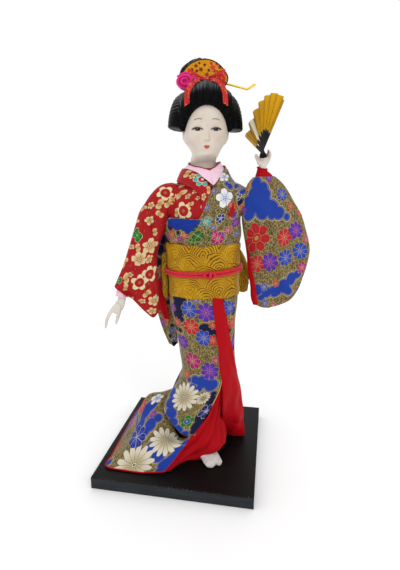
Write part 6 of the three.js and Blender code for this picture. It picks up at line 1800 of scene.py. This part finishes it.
# ---------------------------------------------------------------- CAD nodes that stay, with finished materials
for name, node in NODES.items():
    if node.hide_render:
        continue
    node.data.materials.clear()
    node.data.materials.append(
        MAT['board'] if name == 'base_board' else MAT['black'] if name == 'fan_rivet' else MAT['black'] if name.startswith('fan_') else
        MAT['steel'] if 'rod' in name or 'wire' in name or 'bar' in name else MAT['straw'] if name == 'torso_core' else MAT['wood'] if name == 'neck_peg' else MAT['pad'])
b = NODES['base_board'].modifiers.new("edge", 'BEVEL')
b.width, b.segments, b.limit_method, b.angle_limit = .0007, 3, 'ANGLE', math.radians(60)
for k in range(1, 7):
    b = NODES[f'fan_rib_{k}'].modifiers.new("edge", 'BEVEL')
    b.width, b.segments, b.limit_method, b.angle_limit = .00007, 2, 'ANGLE', math.radians(50)

for o, flat, held, rests in SHEETS:
    a = INFO[o.name]['area']
    w, l = flat
    k = math.sqrt(a / (w * l * .92))
    if min(w, l) * k < .0101:
        k = .0101 / min(w, l)
    w * k
    l * k
    max(.31 * w * l * k * k, min(a, w * l * k * k))
for n in ("right_arm_padding", "left_arm_padding"):
    m = NODES[n].modifiers.new("packed", 'DISPLACE')
    m.strength, m.mid_level = -.0011, 0

# ---------------------------------------------------------------- camera, floor and light
scene = bpy.context.scene
cam = bpy.data.cameras.new("camera")
cam.lens, cam.sensor_width, cam.sensor_fit = FOCAL * 36 / 570, 36, 'AUTO'
cam.clip_start, cam.clip_end = .01, 20
co = bpy.data.objects.new("camera", cam)
co.location = Vector(EYE * 1e-3)
co.rotation_mode = 'QUATERNION'
co.rotation_quaternion = Vector(FWD).to_track_quat('-Z', 'Y')
scene.collection.objects.link(co)
scene.camera = co

fm = M('floor_pale', Specular_IOR_Level=.15)
n = fm.noise(fm.obj(), .02, 2.0)
fx, fy, _ = fm.split(fm.obj())
fm.done(fm.mix(fm.step(fm.hyp(fx, fy), 250.0, 700.0), fm.mix(n, (.93, .93, .93, 1), (.96, .96, .96, 1)), (1, 1, 1, 1)), .9)
me = bpy.data.meshes.new('floor')
S = 3.0
back = [(-S, -S, 0), (S, -S, 0)] + [p for k in range(13) for p in ((-S, 1.2 + .5 * math.sin(k / 12 * pi / 2), .5 - .5 * math.cos(k / 12 * pi / 2)), (S, 1.2 + .5 * math.sin(k / 12 * pi / 2), .5 - .5 * math.cos(k / 12 * pi / 2)))] + [(-S, 1.7, 3), (S, 1.7, 3)]
me.from_pydata([(-S, -S, -.0002), (S, -S, -.0002), (S, S, -.0002), (-S, S, -.0002)], [], [(0, 1, 2, 3)])
me.materials.append(fm.mat)
floor = bpy.data.objects.new('floor', me)
scene.collection.objects.link(floor)

world = bpy.data.worlds.new("studio")
world.use_nodes = True
bg = world.node_tree.nodes['Background']
bg.inputs[0].default_value = (1, 1, 1, 1)
bg.inputs[1].default_value = 1.0
scene.world = world


def area(name, loc, target, size, power, color=(1, 1, 1)):
    l = bpy.data.lights.new(name, 'AREA')
    l.shape, l.size, l.energy, l.color = 'SQUARE', size, power, color
    ob = bpy.data.objects.new(name, l)
    ob.location = Vector(loc)
    ob.rotation_mode = 'QUATERNION'
    ob.rotation_quaternion = (Vector(target) - Vector(loc)).to_track_quat('-Z', 'Y')
    scene.collection.objects.link(ob)


area('key', (.5, -.7, .8), (.01, 0, .16), .3, 1.7)
area('fill', (-.8, -.6, .5), (.01, 0, .16), .6, .3)
area('top', (0, .2, 1.1), (0, 0, .1), .6, .8)
area('rear', (-.3, .9, .6), (.01, 0, .16), .6, .3)
scene.view_settings.view_transform = 'Standard'
